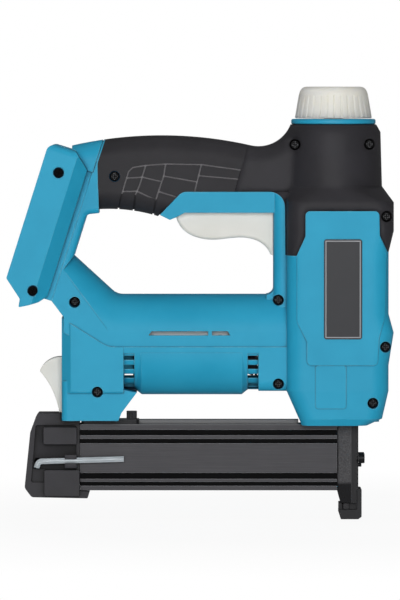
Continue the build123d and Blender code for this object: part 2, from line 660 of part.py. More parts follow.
def lamp_hole():
    return rod_z(HEAD_BASE_Z - 1, HEAD_BASE_Z + 9.5, 2.2, HEAD_X + 26.5)


def work_light():
    lens = rod_z(HEAD_BASE_Z + 1.4, HEAD_BASE_Z + 9, 2.1, HEAD_X + 26.5)
    return fillet(lens.edges().sort_by(Axis.Z)[0], 1.2)


def shell_pieces():
    outer = whole_form(0)
    shell = outer - whole_form(WALL)
    shell = shell + boss_set(outer) + rib_set(outer) + inner_supports(outer)
    panel = head_form(-PANEL_RISE) - head_form(WALL)
    shell = shell + (panel & panel_zone())
    apron = head_form(-PANEL_RISE / 2) - head_form(WALL)
    shell = shell + (apron & apron_zone()) + lamp_hood()
    band = whole_form(0) - barrel_form(VENT_SINK)
    for x in (VENT_REAR_X, VENT_FRONT_X):
        sink = block(x - VENT_W / 2, x + VENT_W / 2, -REACH, REACH, BOX_FLOOR_Z + FOOT_CREST, VENT_TOP_Z + VENT_H)
        shell = shell - (band & sink)
    shell = shell - screw_holes() - vent_cuts() - slot_cuts() - work_openings() - lamp_hole()
    shell = shell - rod_y(-STRIP_HALF + 1.8, STRIP_HALF - 1.8, TRIGGER_PIN_R + FIT, TRIGGER_PIN_X, TRIGGER_PIN_Z)
    shell = shell - rod_y(-15, 15, LATCH_PIN_R + FIT, LATCH_PIN_X, LATCH_PIN_Z)

    skin = (grip_form(0) - grip_form(GRIP_SKIN)) & grip_zone()
    skin = skin - rod_y(-REACH, 0, WELL_R, SCREWS[0][0], SCREWS[0][1])
    rubber = skin - (groove_tool() & (grip_form(0) - grip_form(GROOVE_DEPTH)))
    cover = shell & head_cover_zone()
    body = shell - head_cover_zone() - skin
    return body, cover, rubber


def right_half(shape):
    return shape & block(-300, 100, -REACH, 0, -10, 320)


def left_half(shape):
    return shape & block(-300, 100, 0, REACH, -10, 320)


def main_solid(shape):
    return max(shape.solids(), key=lambda s: s.volume)


# Power knob, its collar and the adjuster below it

def knob_outline(waist_z, top):
    return make_face(Polyline((0, 0, KNOB_Z), (KNOB_R, 0, KNOB_Z), (KNOB_WAIST_R, 0, waist_z), (KNOB_CROWN_R, 0, top),
                              (0, 0, top), close=True))


def knob_flute(waist_z):
    # A round cutter that leans along the knob's side and runs out at its waist
    r = 6.0
    foot = Vector(KNOB_R + r - KNOB_FLUTE, 0, KNOB_Z)
    run = Vector(KNOB_WAIST_R + r, 0, waist_z + 1) - foot
    place = Plane(origin=foot - run * 0.1, z_dir=run)
    return place * Pos(0, 0, run.length * 0.6) * Cylinder(r, run.length * 1.2)


def power_knob():
    top = KNOB_Z + KNOB_H
    waist_z = KNOB_Z + 0.69 * KNOB_H
    body = revolve(knob_outline(waist_z, top), Axis.Z)
    rings = body.edges().filter_by(GeomType.CIRCLE).sort_by(Axis.Z)
    body = fillet(rings[-2:], 1.6)
    for i in range(KNOB_RIBS):
        body = body - Rot(0, 0, 360 * (i + 0.5) / KNOB_RIBS) * knob_flute(waist_z)
    hollow = rod_z(KNOB_Z - 1, KNOB_Z + KNOB_H - 4, KNOB_R - 6.5) - rod_z(KNOB_Z - 2, KNOB_Z + KNOB_H, SPINDLE_R + 4)
    body = body - hollow - rod_z(KNOB_Z - 1, KNOB_Z + 10 + FIT, SPINDLE_R)
    return KNOB_AXIS * body


def head_collar():
    ring = rod_z(HEAD_TOP_Z, HEAD_TOP_Z + COLLAR_T, COLLAR_R)
    ring = fillet(ring.edges().filter_by(GeomType.CIRCLE), 1.2)
    spigot = rod_z(HEAD_TOP_Z - WALL, HEAD_TOP_Z + 1, HEAD_TOP_R - WALL - FIT)
    return KNOB_AXIS * (ring + spigot - rod_z(HEAD_TOP_Z - 10, HEAD_TOP_Z + 10, SPINDLE_R + 0.5))


def adjuster_spindle():
    bottom = SEAT_Z - SEAT_LEAD * KNOB_TURN / 360 - 3
    body = rod_z(bottom, KNOB_Z + 10, SPINDLE_R)
    thrust = rod_z(CYLINDER_TOP - 3.2, CYLINDER_TOP - 0.3, SPINDLE_R + 4)
    groove = rod_z(bottom + 3, SEAT_Z + SEAT_T, SPINDLE_R + 1) - rod_z(bottom, SEAT_Z + SEAT_T + 1, SPINDLE_R - 0.5)
    rings = Part()
    for i in range(4):
        z = bottom + 1.0 + i * 0.5
        rings = rings + (rod_z(z, z + 0.25, SPINDLE_R + 1) - rod_z(z - 1, z + 1, SPINDLE_R - 0.4))
    return KNOB_AXIS * (body + thrust - rings)


def spring_seat():
    plate = rod_z(SEAT_Z, SEAT_Z + SEAT_T * 0.5, PISTON_R)
    hub = rod_z(SEAT_Z, SEAT_Z + SEAT_T, SPINDLE_R + 3.5)
    return KNOB_AXIS * (plate + hub - rod_z(SEAT_Z - 1, SEAT_Z + SEAT_T + 1, SPINDLE_R + RUN))


def cylinder_cap():
    plate = rod_z(CYLINDER_TOP, CYLINDER_TOP + 4, CYLINDER_R + 3)
    return KNOB_AXIS * (plate - rod_z(CYLINDER_TOP - 1, CYLINDER_TOP + 5, SPINDLE_R + RUN))


def drive_cylinder():
    tube = rod_z(CYLINDER_Z, CYLINDER_TOP, CYLINDER_R) - rod_z(CYLINDER_Z + 3, CYLINDER_TOP + 1, BORE_R)
    tube = tube - rod_z(CYLINDER_Z - 1, CYLINDER_Z + 5, ROD_R + RUN)
    for i in range(6):
        port = Rot(0, 0, 60 * i) * rod_x(0, CYLINDER_R + 2, 2.5, z=CYLINDER_TOP - 30)
        tube = tube - port
    return KNOB_AXIS * tube


def bumper():
    ring = rod_z(CYLINDER_Z + 3, PISTON_Z - 0.3, BORE_R - FIT)
    ring = fillet(ring.edges().sort_by(Axis.Z)[-1], 2.0)
    return KNOB_AXIS * (ring - rod_z(CYLINDER_Z, PISTON_Z, ROD_R + 0.5))


def main_spring():
    z0 = PISTON_Z + PISTON_T + SPRING_WIRE_R + 0.2
    z1 = SEAT_Z - SPRING_WIRE_R - 0.2
    spring = KNOB_AXIS * Pos(0, 0, z0) * coil(SPRING_R, SPRING_WIRE_R, z1 - z0, SPRING_TURNS)
    print("main spring, least gap between turns", round((z1 - z0) / SPRING_TURNS - 2 * SPRING_WIRE_R, 2))
    return spring


# Striker

def lug_bottom(i):
    return MOTOR_Z + LIFT_PIN_R + LUG_GAP - i * LIFT_PITCH


def hammer():
    pin_front = LIFTER_X + LIFTER_T / 2 + LIFT_PIN_L
    lug_rear = LIFTER_X + LIFTER_T / 2 + 0.6
    web_y = LIFT_R + LIFT_PIN_R + 0.8
    lug_t = LIFT_PITCH - 2 * LIFT_PIN_R - 2 * LUG_GAP
    plate_rear = pin_front + 0.6
    front = -BLADE_T / 2
    web_bottom = lug_bottom(LIFT_PINS - 1)
    body = block(lug_rear, plate_rear + 5, web_y, web_y + 3.2, web_bottom, lug_bottom(0) + lug_t)
    for i in range(LIFT_PINS):
        body = body + block(lug_rear, pin_front - 0.4, LIFT_R - 1.8, web_y + 0.5, lug_bottom(i), lug_bottom(i) + lug_t)
    body = body + block(plate_rear, plate_rear + 5, -9, web_y + 3.2, CARRIAGE_Z, CARRIAGE_TOP)
    beam = block(plate_rear + 4, front, -7, 7, CARRIAGE_Z, CARRIAGE_TOP)
    beam = beam - block(plate_rear + 8, front - 6, -8, -2, CARRIAGE_Z + 6, CARRIAGE_TOP - 8)
    beam = beam - block(plate_rear + 8, front - 6, 2, 8, CARRIAGE_Z + 6, CARRIAGE_TOP - 8)
    body = body + beam + KNOB_AXIS * rod_z(CARRIAGE_TOP - 4, PISTON_Z + 2, ROD_R)
    piston = rod_z(PISTON_Z, PISTON_Z + PISTON_T, PISTON_R)
    piston = piston - (rod_z(PISTON_Z + 4, PISTON_Z + 6, PISTON_R + 1) - rod_z(PISTON_Z, PISTON_Z + 9, PISTON_R - 1.2))
    return body + KNOB_AXIS * piston


def driver_blade():
    blade = block(-BLADE_T / 2, BLADE_T / 2, -BLADE_W / 2, BLADE_W / 2, BLADE_TIP_Z, CARRIAGE_TOP - 2)
    head = block(-BLADE_T / 2, BLADE_T / 2, -6, 6, CARRIAGE_TOP - 14, CARRIAGE_TOP - 2)
    return blade + head


def blade_clamp():
    x0 = BLADE_T / 2
    plate = block(x0, x0 + 2.4, -7, 7, CARRIAGE_TOP - 20, CARRIAGE_TOP)
    plate = chamfer(plate.edges().filter_by(Axis.Y).group_by(Axis.X)[-1], 1.0)
    for z in (CARRIAGE_TOP - 17, CARRIAGE_TOP - 8):
        plate = plate + rod_x(x0 + 2, x0 + 5, 2.8, z=z) - rod_x(x0 + 3.2, x0 + 6, 1.4, z=z)
    return plate


# Gears: straight-sided teeth close to the involute, thinned for backlash

def gear_face(teeth, outer_r, root_r, pitch_r, thin):
    half = pi / (2 * teeth) - thin / pitch_r
    lean = tan(radians(20.0))
    tip = half - (outer_r - pitch_r) * lean / pitch_r
    foot = half + (pitch_r - root_r) * lean / pitch_r
    points = []
    for i in range(teeth):
        mid = 2 * pi * i / teeth
        for angle, r in ((-foot, root_r), (-tip, outer_r), (tip, outer_r), (foot, root_r)):
            points.append((r * cos(mid + angle), r * sin(mid + angle)))
    return make_face(Polyline(*points, close=True))


def outer_gear(teeth, length):
    pitch_r = GEAR_MODULE * teeth / 2
    face = gear_face(teeth, pitch_r + 0.9 * GEAR_MODULE, pitch_r - 1.2 * GEAR_MODULE, pitch_r, 0.06)
    return extrude(face, amount=length, dir=(0, 0, 1))


def lay_along_x(shape, x, y=0.0, z=0.0, turn=0.0):
    # The gear's own +X ends up pointing along +Y, its length along +X
    frame = Plane(origin=(x, y, z), x_dir=(0, 1, 0), z_dir=(1, 0, 0))
    return frame * (Rot(0, 0, turn) * shape)


def ring_gear_bore(length):
    pitch_r = GEAR_MODULE * RING_TEETH / 2
    face = gear_face(RING_TEETH, pitch_r + 1.2 * GEAR_MODULE, pitch_r - 0.9 * GEAR_MODULE, pitch_r, -0.06)
    return extrude(face, amount=length, dir=(0, 0, 1))


def gearbox_case():
    rear = GEAR_REAR - 3
    front = LIFTER_X - LIFTER_T / 2 - 0.4
    body = rod_x(rear, front, CASE_R, z=MOTOR_Z)
    half_tooth = 180 / RING_TEETH
    bore = lay_along_x(ring_gear_bore(GEAR_L + 5.1), GEAR_REAR - 1, z=MOTOR_Z, turn=half_tooth)
    body = body - bore - rod_x(rear - 1, GEAR_REAR, SUN_TEETH * GEAR_MODULE / 2 + 1.2, z=MOTOR_Z)
    body = body - rod_x(front - BEARING_L - 0.3, front + 1, BEARING_R + FIT / 2, z=MOTOR_Z)
    return body - rod_x(front - 8, front, OUTPUT_R + 1.5, z=MOTOR_Z)


def planet_angle(i):
    return 2 * pi * i / PLANETS


def planet_centre(i):
    angle = planet_angle(i)
    return CENTRE_DISTANCE * cos(angle), MOTOR_Z + CENTRE_DISTANCE * sin(angle)


def planet_gear(i):
    y, z = planet_centre(i)
    gear = outer_gear(PLANET_TEETH, GEAR_L - 1) - Cylinder(2.0 + RUN, 80)
    return lay_along_x(gear, GEAR_REAR + 0.5, y, z, turn=180 / PLANET_TEETH)


def output_carrier():
    plate_x = GEAR_FRONT + 0.4
    reach = CENTRE_DISTANCE + 3.6
    body = rod_x(plate_x, plate_x + 3, reach, z=MOTOR_Z)
    for i in range(PLANETS):
        y, z = planet_centre(i)
        body = body + rod_x(GEAR_REAR + 0.2, plate_x + 1, 2.0, y, z)
    return body + rod_x(plate_x, LIFTER_X + LIFTER_T / 2, OUTPUT_R, z=MOTOR_Z)


def output_bearing():
    front = LIFTER_X - LIFTER_T / 2 - 0.4
    ring = rod_x(front - BEARING_L, front, BEARING_R, z=MOTOR_Z)
    race = rod_x(front - 0.5, front + 1, BEARING_R - 1.2, z=MOTOR_Z) - rod_x(front - 1, front + 2, OUTPUT_R + 1.2, z=MOTOR_Z)
    return ring - race - rod_x(front - 9, front + 1, OUTPUT_R + RUN, z=MOTOR_Z)


def lifter_wheel():
    x0, x1 = LIFTER_X - LIFTER_T / 2, LIFTER_X + LIFTER_T / 2
    wheel = rod_x(x0, x1, LIFT_R + 3, z=MOTOR_Z) - rod_x(x0 - 1, x1 + 1, OUTPUT_R, z=MOTOR_Z)
    for i in range(LIFT_PINS):
        angle = radians(-LIFT_STEP * i)
        y, z = LIFT_R * cos(angle), MOTOR_Z + LIFT_R * sin(angle)
        wheel = wheel + rod_x(x1 - 1, x1 + LIFT_PIN_L, LIFT_PIN_R, y, z)
    lightening = radians(-LIFT_STEP * LIFT_PINS - 54)
    for i in range(3):
        angle = lightening - radians(45 * i)
        wheel = wheel - rod_x(x0 - 1, x1 + 1, 3.0, 10.5 * cos(angle), MOTOR_Z + 10.5 * sin(angle))
    return wheel


def motor_rotor():
    rear = CAN_REAR - END_CAP_L - 1.5
    shaft = rod_x(rear, GEAR_FRONT - 1, SHAFT_R, z=MOTOR_Z)
    core = rod_x(CAN_REAR + 10, CAN_FRONT - 8, 11.5, z=MOTOR_Z)
    for i in range(5):
        angle = 2 * pi * i / 5
        slot = rod_x(CAN_REAR + 9, CAN_FRONT - 7, 2.0, 10.5 * cos(angle), MOTOR_Z + 10.5 * sin(angle))
        core = core - slot
    commutator = rod_x(CAN_REAR + 1, CAN_REAR + 9, 5.5, z=MOTOR_Z)
    sun = lay_along_x(outer_gear(SUN_TEETH, GEAR_L - 0.5), GEAR_REAR + 0.2, z=MOTOR_Z)
    return shaft + core + commutator + sun


def cooling_fan():
    hub = rod_x(FAN_X - FAN_L / 2, FAN_X + FAN_L / 2, 6.0, z=MOTOR_Z)
    disc = rod_x(FAN_X + FAN_L / 2 - 1.6, FAN_X + FAN_L / 2, FAN_R, z=MOTOR_Z)
    fan = hub + disc
    for i in range(FAN_BLADES):
        blade = Pos(FAN_X, 11.2, 0) * Rot(0, 0, 18) * Box(FAN_L - 1.5, 11.0, 1.2)
        fan = fan + Pos(0, 0, MOTOR_Z) * Rot(360 * i / FAN_BLADES, 0, 0) * blade
    fan = fan & rod_x(FAN_X - FAN_L / 2, FAN_X + FAN_L / 2, FAN_R, z=MOTOR_Z)
    return fan - rod_x(FAN_X - 20, FAN_X + 20, SHAFT_R, z=MOTOR_Z)


def motor_can():
    can = rod_x(CAN_REAR, CAN_FRONT, CAN_R, z=MOTOR_Z)
    can = fillet(can.edges().sort_by(Axis.X)[-1], 2.0)
    nose = rod_x(CAN_FRONT - 1, CAN_FRONT + 4, 7.0, z=MOTOR_Z)
    can = can + nose - rod_x(CAN_REAR - 1, CAN_FRONT - 2, CAN_R - 2, z=MOTOR_Z)
    magnets = rod_x(CAN_REAR + 9, CAN_FRONT - 6, CAN_R - 1, z=MOTOR_Z) - rod_x(CAN_REAR, CAN_FRONT, 12.5, z=MOTOR_Z)
    split = block(CAN_REAR, CAN_FRONT, -REACH, REACH, MOTOR_Z - 4, MOTOR_Z + 4)
    return can + (magnets - split) - rod_x(CAN_FRONT - 5, CAN_FRONT + 5, SHAFT_R + RUN, z=MOTOR_Z)


def motor_end_cap():
    rear = CAN_REAR - END_CAP_L
    cap = rod_x(rear, CAN_REAR, CAN_R - 0.6, z=MOTOR_Z)
    cap = fillet(cap.edges().sort_by(Axis.X)[0], 2.0)
    cap = cap + rod_x(CAN_REAR - 1, CAN_REAR + 3, CAN_R - 2, z=MOTOR_Z)
    cap = cap - rod_x(CAN_REAR - 2, CAN_REAR + 4, CAN_R - 5, z=MOTOR_Z)
    for y in (-9, 9):
        cap = cap + block(CAN_REAR - 2.5, CAN_REAR + 8, y - 2, y + 2, MOTOR_Z - 2, MOTOR_Z + 2)
    return cap - rod_x(rear - 1, CAN_REAR, SHAFT_R + RUN, z=MOTOR_Z)


def control_board():
    board = block(-180.1, -152.6, 12 + FIT, 13.6 + FIT, 88, 112)
    board = board + block(-168, -160, 8.6, 12.5, 98, 108) + block(-176, -172, 9, 12.5, 90, 96)
    for x in (-167, -163, -154.3):
        board = board + rod_y(7.6, 12.5, 1.6, x, 93)
    return board


# Trigger group

def trigger():
    rear, low = TRIGGER_REAR_X, STRIP_BOTTOM_Z
    front = LOOP_FRONT_X - 0.4
    nose = Spline((rear, 0, low - 2.6), (rear + 5.8, 0, low - 12), (rear + 23.4, 0, low - 17.6),
                  (rear + 44.8, 0, low - 16.3), (rear + 56, 0, low - 20.2), (front - 1.6, 0, low - 27))
    back = Polyline(nose @ 1, (front, 0, low - 27.7), (front, 0, low + 3), (TRIGGER_PIN_X + 3, 0, TRIGGER_PIN_Z + 2),
                    (rear + 3, 0, low + 5.5), (rear, 0, low + 2.5), nose @ 0)
    body = slab(make_face(Curve() + [nose, back]), TRIGGER_HALF)
    rim = [e for e in body.edges() if e.geom_type == GeomType.BSPLINE]
    body = fillet(rim, 2.0)
    body = body + rod_y(-TRIGGER_HALF, TRIGGER_HALF, TRIGGER_PIN_R + 2.4, TRIGGER_PIN_X, TRIGGER_PIN_Z)
    body = body - block(rear + 6, TRIGGER_PIN_X - 8, -TRIGGER_HALF + 2, TRIGGER_HALF - 2, low - 9, low + 20)
    body = body + block(-92, -80, -TRIGGER_HALF, TRIGGER_HALF, low - 10, low + 5.5)
    return body - rod_y(-REACH, REACH, TRIGGER_PIN_R + RUN, TRIGGER_PIN_X, TRIGGER_PIN_Z)


def trigger_pin():
    return rod_y(-STRIP_HALF + 2, STRIP_HALF - 2, TRIGGER_PIN_R, TRIGGER_PIN_X, TRIGGER_PIN_Z)


def trigger_switch():
    body = block(-97, -75, -8.6, 8.6, 218, 236)
    body = body + block(-88, -84, -4, 4, 212.6, 219)
    return fillet(body.edges().filter_by(Axis.Y).group_by(Axis.Z)[-1], 1.0)


def trigger_spring():
    z0 = STRIP_BOTTOM_Z - 9 + TRIGGER_WIRE_R + 0.3
    return Pos(-104.0, 0, z0) * coil(3.0, TRIGGER_WIRE_R, TRIGGER_SPRING_TOP - z0, 8)


# Battery guard and its carrier, built upright and then tilted

def guard_outline():
    d, top, neck = GUARD_DEPTH, GUARD_TOP, GUARD_NECK
    points = [(-d, 2.7), (-d, top), (-GUARD_SLOPE, top), (-neck, top - GUARD_SLOPE_DROP), (-neck, -0.9), (-7.6, -6), (-13.2, -9.7),
              (-19, -12.9), (-19.8, -7.4)]
    return side_face(points, [2, 5, 1, 1, 2, 6, 8, 0.6, 2])


def guard_corner(depth):
    # All that lies outside the guard's sloping top corner, depth below its outer face
    start, end = Vector(-GUARD_SLOPE, 0, GUARD_TOP), Vector(-GUARD_NECK, 0, GUARD_TOP - GUARD_SLOPE_DROP)
    along = end - start
    out = Vector(-along.Z, 0, along.X).normalized()
    slope = Plane(origin=(start + end) * 0.5 - out * depth, x_dir=along, z_dir=out)
    return slope * Pos(0, 0, 15) * Box(80, 2 * REACH, 30)


def guard_brow():
    # Rounds the long edges between the guard's sides and its top
    r = GUARD_BROW_R
    corner = block(-REACH, REACH, GUARD_HALF - r, GUARD_HALF + 1, GUARD_TOP - r, GUARD_TOP + 1)
    return both_sides(corner - rod_x(-REACH - 1, REACH + 1, r, GUARD_HALF - r, GUARD_TOP - r))


def guard_facets(depth):
    # Two long prisms that slant the guard's front corners; depth is how far below the outer facet they reach
    side = GUARD_FACET * sqrt(2) + 2 * depth
    prism = Pos(-GUARD_NECK, GUARD_HALF, 0) * Rot(0, 0, 45) * Box(side, side, 4 * REACH)
    return both_sides(prism)


def guard_solid():
    body = slab(guard_outline(), GUARD_HALF) - guard_facets(0) - guard_brow()
    neck = block(-GUARD_NECK - 4, 0, -REACH / 2, REACH / 2, -3, GUARD_TOP - 10)
    body = body + (neck - GUARD.inverse() * post_sides(0))
    pocket = block(-REACH, -GUARD_NECK - GUARD_WALL, -GUARD_HALF + GUARD_WALL, GUARD_HALF - GUARD_WALL,
                   -REACH, GUARD_TOP - GUARD_WALL)
    return body - (pocket - guard_facets(GUARD_WALL) - guard_corner(GUARD_WALL))


GUARD_SCREWS = [(-20.3, 77.6), (-13.3, 0.1)]


def guard_half(side):
    body = guard_solid()
    for p, q in GUARD_SCREWS:
        body = body - rod_y(-REACH, REACH, SCREW_R + FIT, p, q)
        for s in (-1, 1):
            outer_y = s * (GUARD_HALF + 1)
            seat_y = s * (GUARD_HALF - 1.2)
            body = body - rod_y(min(outer_y, seat_y), max(outer_y, seat_y), WELL_R, p, q)
    keep = block(-REACH, REACH, -REACH, 0, -REACH, 2 * REACH)
    if side > 0:
        keep = block(-REACH, REACH, 0, REACH, -REACH, 2 * REACH)
    return GUARD * (body & keep)


def battery_carrier():
    inside = GUARD_HALF - GUARD_WALL
    floor_p = -GUARD_NECK - GUARD_WALL
    top = GUARD_TOP - GUARD_WALL - 0.2
    body = block(floor_p - 3.5, floor_p, -inside + 0.1, inside - 0.1, 4, top)
    rails = block(floor_p - 18, floor_p, inside - RAIL_DEPTH, inside - 0.1, 0, top)
    rails = rails - block(floor_p - 13, floor_p - 9, inside - RAIL_DEPTH - 1, inside - RAIL_DEPTH + 2.6, -6, top - 8)
    body = body + both_sides(rails)
    block_q = 52.0
    socket = block(floor_p - 10, floor_p - 3, -15, 15, block_q, block_q + 32)
    for y in (-10, 0, 10):
        socket = socket - block(floor_p - 11, floor_p - 6, y - 1.6, y + 1.6, block_q - 1, block_q + 26)
    body = body + socket - guard_facets(GUARD_WALL + FIT) - guard_corner(GUARD_WALL + FIT)
    for p, q in GUARD_SCREWS:
        body = body - rod_y(-REACH, REACH, SCREW_R + FIT / 2, p, q)
    return GUARD * body


def terminal_blades():
    floor_p = -GUARD_NECK - GUARD_WALL
    blades = []
    for y in (-10, 0, 10):
        blades.append(GUARD * block(floor_p - 14, floor_p - 6, y - 0.4, y + 0.4, 54, 76))
    return blades


def guard_screws():
    screws = []
    for p, q in GUARD_SCREWS:
        seat = GUARD_HALF - 1.2
        near = cross_head_screw(p, q, seat - 0.0, -(GUARD_HALF - GUARD_WALL - RAIL_DEPTH + 0.6))
        screws.append(GUARD * near)
        screws.append(GUARD * mirror(near, Plane.XZ))
    return screws


def rating_plate():
    face_y = -HEAD_HALF - PANEL_RISE
    points = [(PLATE_X - PLATE_W / 2, PLATE_Z - PLATE_H / 2), (PLATE_X + PLATE_W / 2, PLATE_Z - PLATE_H / 2),
              (PLATE_X + PLATE_W / 2, PLATE_Z + PLATE_H / 2), (PLATE_X - PLATE_W / 2, PLATE_Z + PLATE_H / 2)]
    return side_plate(points, face_y - PLATE_T, face_y, 1.5)


# Nose and contact

def nose_base():
    front = -CHANNEL_HALF_T
    points = [(NOSE_REAR, MAG_TOP), (NOSE_REAR, 19.2), (NOSE_REAR + 2.3, NOSE_END_Z), (front, NOSE_END_Z),
              (front, MAG_TOP)]
    body = side_plate(points, -NOSE_HALF, NOSE_HALF)
    body = fillet(body.edges().filter_by(Axis.Z).group_by(Axis.X)[0], 1.5)
    throat = block(NOSE_REAR - 1, front + 1, -STAPLE_HALF, STAPLE_HALF, MAG_Z + 4, TRACK_TOP + 1)
    shoe = block(NOSE_REAR - 1, NOSE_REAR + 3, -SHOE_HALF - 0.3, SHOE_HALF + 0.3, MAG_Z - 0.3, MAG_Z + SHOE_T + 0.4)
    collar = block(NOSE_REAR, front, -NOSE_HALF, NOSE_HALF, MAG_TOP, HEAD_BASE_Z + 6)
    flange = block(NOSE_REAR - 6, front + 6.8, -18, 18, HEAD_BASE_Z + WALL + 0.1, HEAD_BASE_Z + 6)
    flange = flange - block(front, front + 5.2, -NOSE_HALF - 0.2, NOSE_HALF + 0.2, HEAD_BASE_Z, HEAD_BASE_Z + 10)
    relief = block(HOOK_X - GAP, FOOT_REAR + FOOT_L + GAP, -HOOK_HALF - GAP, HOOK_HALF + GAP,
                   NOSE_END_Z - 1, NOSE_END_Z + TIP_TRAVEL + GAP)
    body = body + collar + flange - throat - shoe - relief
    for y in (-NOSE_SCREW_Y, NOSE_SCREW_Y):
        body = body - rod_x(front - 6, front + 1, 2.0 + FIT / 2, y, NOSE_SCREW_Z)
    return body


def nose_front_plate():
    x0 = -CHANNEL_HALF_T
    cheeks = block(x0, CHANNEL_HALF_T, BLADE_W / 2 + 0.15, NOSE_HALF, NOSE_END_Z, HEAD_BASE_Z + 6)
    plate = block(CHANNEL_HALF_T, CHANNEL_HALF_T + FRONT_PLATE_T, -NOSE_HALF, NOSE_HALF, NOSE_END_Z, HEAD_BASE_Z + 6)
    body = plate + both_sides(cheeks)
    for y in (-NOSE_SCREW_Y, NOSE_SCREW_Y):
        body = body - rod_x(x0 - 1, 6, 2.0 + FIT / 2, y, NOSE_SCREW_Z)
    return body


def contact_strap():
    x0 = CHANNEL_HALF_T + FRONT_PLATE_T + 0.1
    body = block(x0, x0 + STRAP_T, -STRAP_HALF, STRAP_HALF, 2.5, STRAP_TOP)
    body = fillet(body.edges().filter_by(Axis.X), 1.5)
    for y in (-NOSE_SCREW_Y, NOSE_SCREW_Y):
        slot = block(x0 - 1, x0 + 3, y - 2.3, y + 2.3, NOSE_SCREW_Z - TIP_TRAVEL - 0.6, NOSE_SCREW_Z + 0.6)
        slot = slot + rod_x(x0 - 1, x0 + 3, 2.3, y, NOSE_SCREW_Z + 0.6)
        slot = slot + rod_x(x0 - 1, x0 + 3, 2.3, y, NOSE_SCREW_Z - TIP_TRAVEL - 0.6)
        body = body - slot
    stop = rod_x(x0 + STRAP_T - 0.2, x0 + STRAP_T + 2.2, 1.3, 0, NOSE_SCREW_Z - 4.6)
    arm = block(x0, x0 + 6.1, -2.5, 2.5, STRAP_TOP - 3, STRAP_TOP)
    return body + stop + arm


def no_mar_tip():
    x1 = CHANNEL_HALF_T + FRONT_PLATE_T + 0.1
    floor = NOSE_END_Z - TIP_TRAVEL - 0.5
    points = [(HOOK_X, floor), (HOOK_X, 4.0), (-7.7, 0.0), (3.6, 0.0), (5.8, 1.6), (5.8, 19.8), (2.9, 19.8),
              (2.9, floor)]
    body = side_plate(points, -NOSE_HALF, NOSE_HALF, [0.4, 2, 0.6, 0.6, 0.6, 0.8, 0.4, 1])
    hook = block(HOOK_X, HOOK_X + HOOK_T, -HOOK_HALF, HOOK_HALF, floor - 1, NOSE_END_Z)
    strap = block(x1 - 0.02, x1 + STRAP_T, -STRAP_HALF, STRAP_HALF, 2.5, 30)
    exit_slot = block(-1.6, 1.8, -4.5, 4.5, -1, 12)
    return body + hook - strap - exit_slot


def contact_foot():
    floor = NOSE_END_Z - TIP_TRAVEL - 0.5
    foot = block(FOOT_REAR, FOOT_REAR + FOOT_L, -HOOK_HALF + 1, HOOK_HALF - 1, floor, NOSE_END_Z - 0.4)
    return fillet(foot.edges().filter_by(Axis.Y).group_by(Axis.Z)[-1], 0.5)


def nose_screws():
    x0 = CHANNEL_HALF_T + FRONT_PLATE_T + STRAP_T + 0.2
    screws = []
    for y in (-NOSE_SCREW_Y, NOSE_SCREW_Y):
        head = rod_x(x0, x0 + 4, NOSE_SCREW_R, y, NOSE_SCREW_Z)
        head = fillet(head.edges().sort_by(Axis.X)[-1], 0.5)
        socket = extrude(Plane(origin=(x0 + 1.8, y, NOSE_SCREW_Z), z_dir=(1, 0, 0)) * RegularPolygon(1.7, 6), amount=4)
        screws.append(head - socket + rod_x(-CHANNEL_HALF_T - 5, x0 + 1, 2.0, y, NOSE_SCREW_Z))
    return screws


def contact_spring():
    z0 = STRAP_TOP + CONTACT_WIRE_R + FIT
    x0 = CHANNEL_HALF_T + FRONT_PLATE_T + 3.7
    return Pos(x0, 0, z0) * coil(1.8, CONTACT_WIRE_R, CONTACT_SPRING_L, 6)


def safety_switch():
    z0 = STRAP_TOP + CONTACT_SPRING_L + 2 * CONTACT_WIRE_R + 2 * FIT
    x0 = CHANNEL_HALF_T + FRONT_PLATE_T + 1.5
    body = block(x0 + 2.6, HEAD_FRONT - WALL - 0.8, -5, 5, z0, z0 + 13.5)
    return body + block(x0, x0 + 3, -3, 3, z0, z0 + 2.6)


# Magazine

def magazine_channel():
    steps = [(MAG_TOP - 3.55, MAG_TOP - 7.15), (MAG_TOP - 9.45, MAG_TOP - 12.35), (MAG_Z + 7.45, MAG_Z + 11.35),
             (MAG_Z + 2.95, MAG_Z + 5.55)]
    body = block(MAG_REAR, MAG_FRONT, -MAG_HALF, MAG_HALF, MAG_Z, MAG_TOP)
    for high, low in steps:
        z0, z1 = min(low, high), max(low, high)
        groove = block(MAG_REAR - 1, MAG_FRONT + 1, MAG_HALF - MAG_GROOVE, MAG_HALF + 1, z0, z1)
        body = body - both_sides(groove)
    body = body + block(BOX_FRONT + 1, HEAD_REAR + 8, -7, 7, MAG_TOP - 1, MAG_RIB_TOP)
    x0, x1 = MAG_REAR - 1, MAG_FRONT + 1
    body = body - block(x0, x1, -STAPLE_HALF, STAPLE_HALF, MAG_Z - 1, TRACK_TOP + 1)
    body = body - block(x0, x1, -ATTIC_HALF, ATTIC_HALF, TRACK_TOP, ATTIC_TOP)
    body = body - block(x0, x1, -SHOE_HALF - 0.3, SHOE_HALF + 0.3, MAG_Z - 1, MAG_Z + SHOE_T + 0.3)
    return body - rod_z(MAG_TOP - 5, MAG_RIB_TOP + 5, 2.0 + FIT / 2, -143.5)


def magazine_rail():
    front = MAG_FRONT - 0.4
    rear = MAG_REAR - 16
    shoe = block(rear, front, -SHOE_HALF, SHOE_HALF, MAG_Z, MAG_Z + SHOE_T)
    core = block(rear, front, -CORE_HALF, CORE_HALF, MAG_Z + SHOE_T - 0.5, CORE_TOP)
    for i in range(7):
        x = -150 + i * 20
        core = core - side_plate([(x, 29), (x + 12, 29), (x + 12, 37), (x, 37)], -REACH, REACH, 3.0)
    return shoe + core


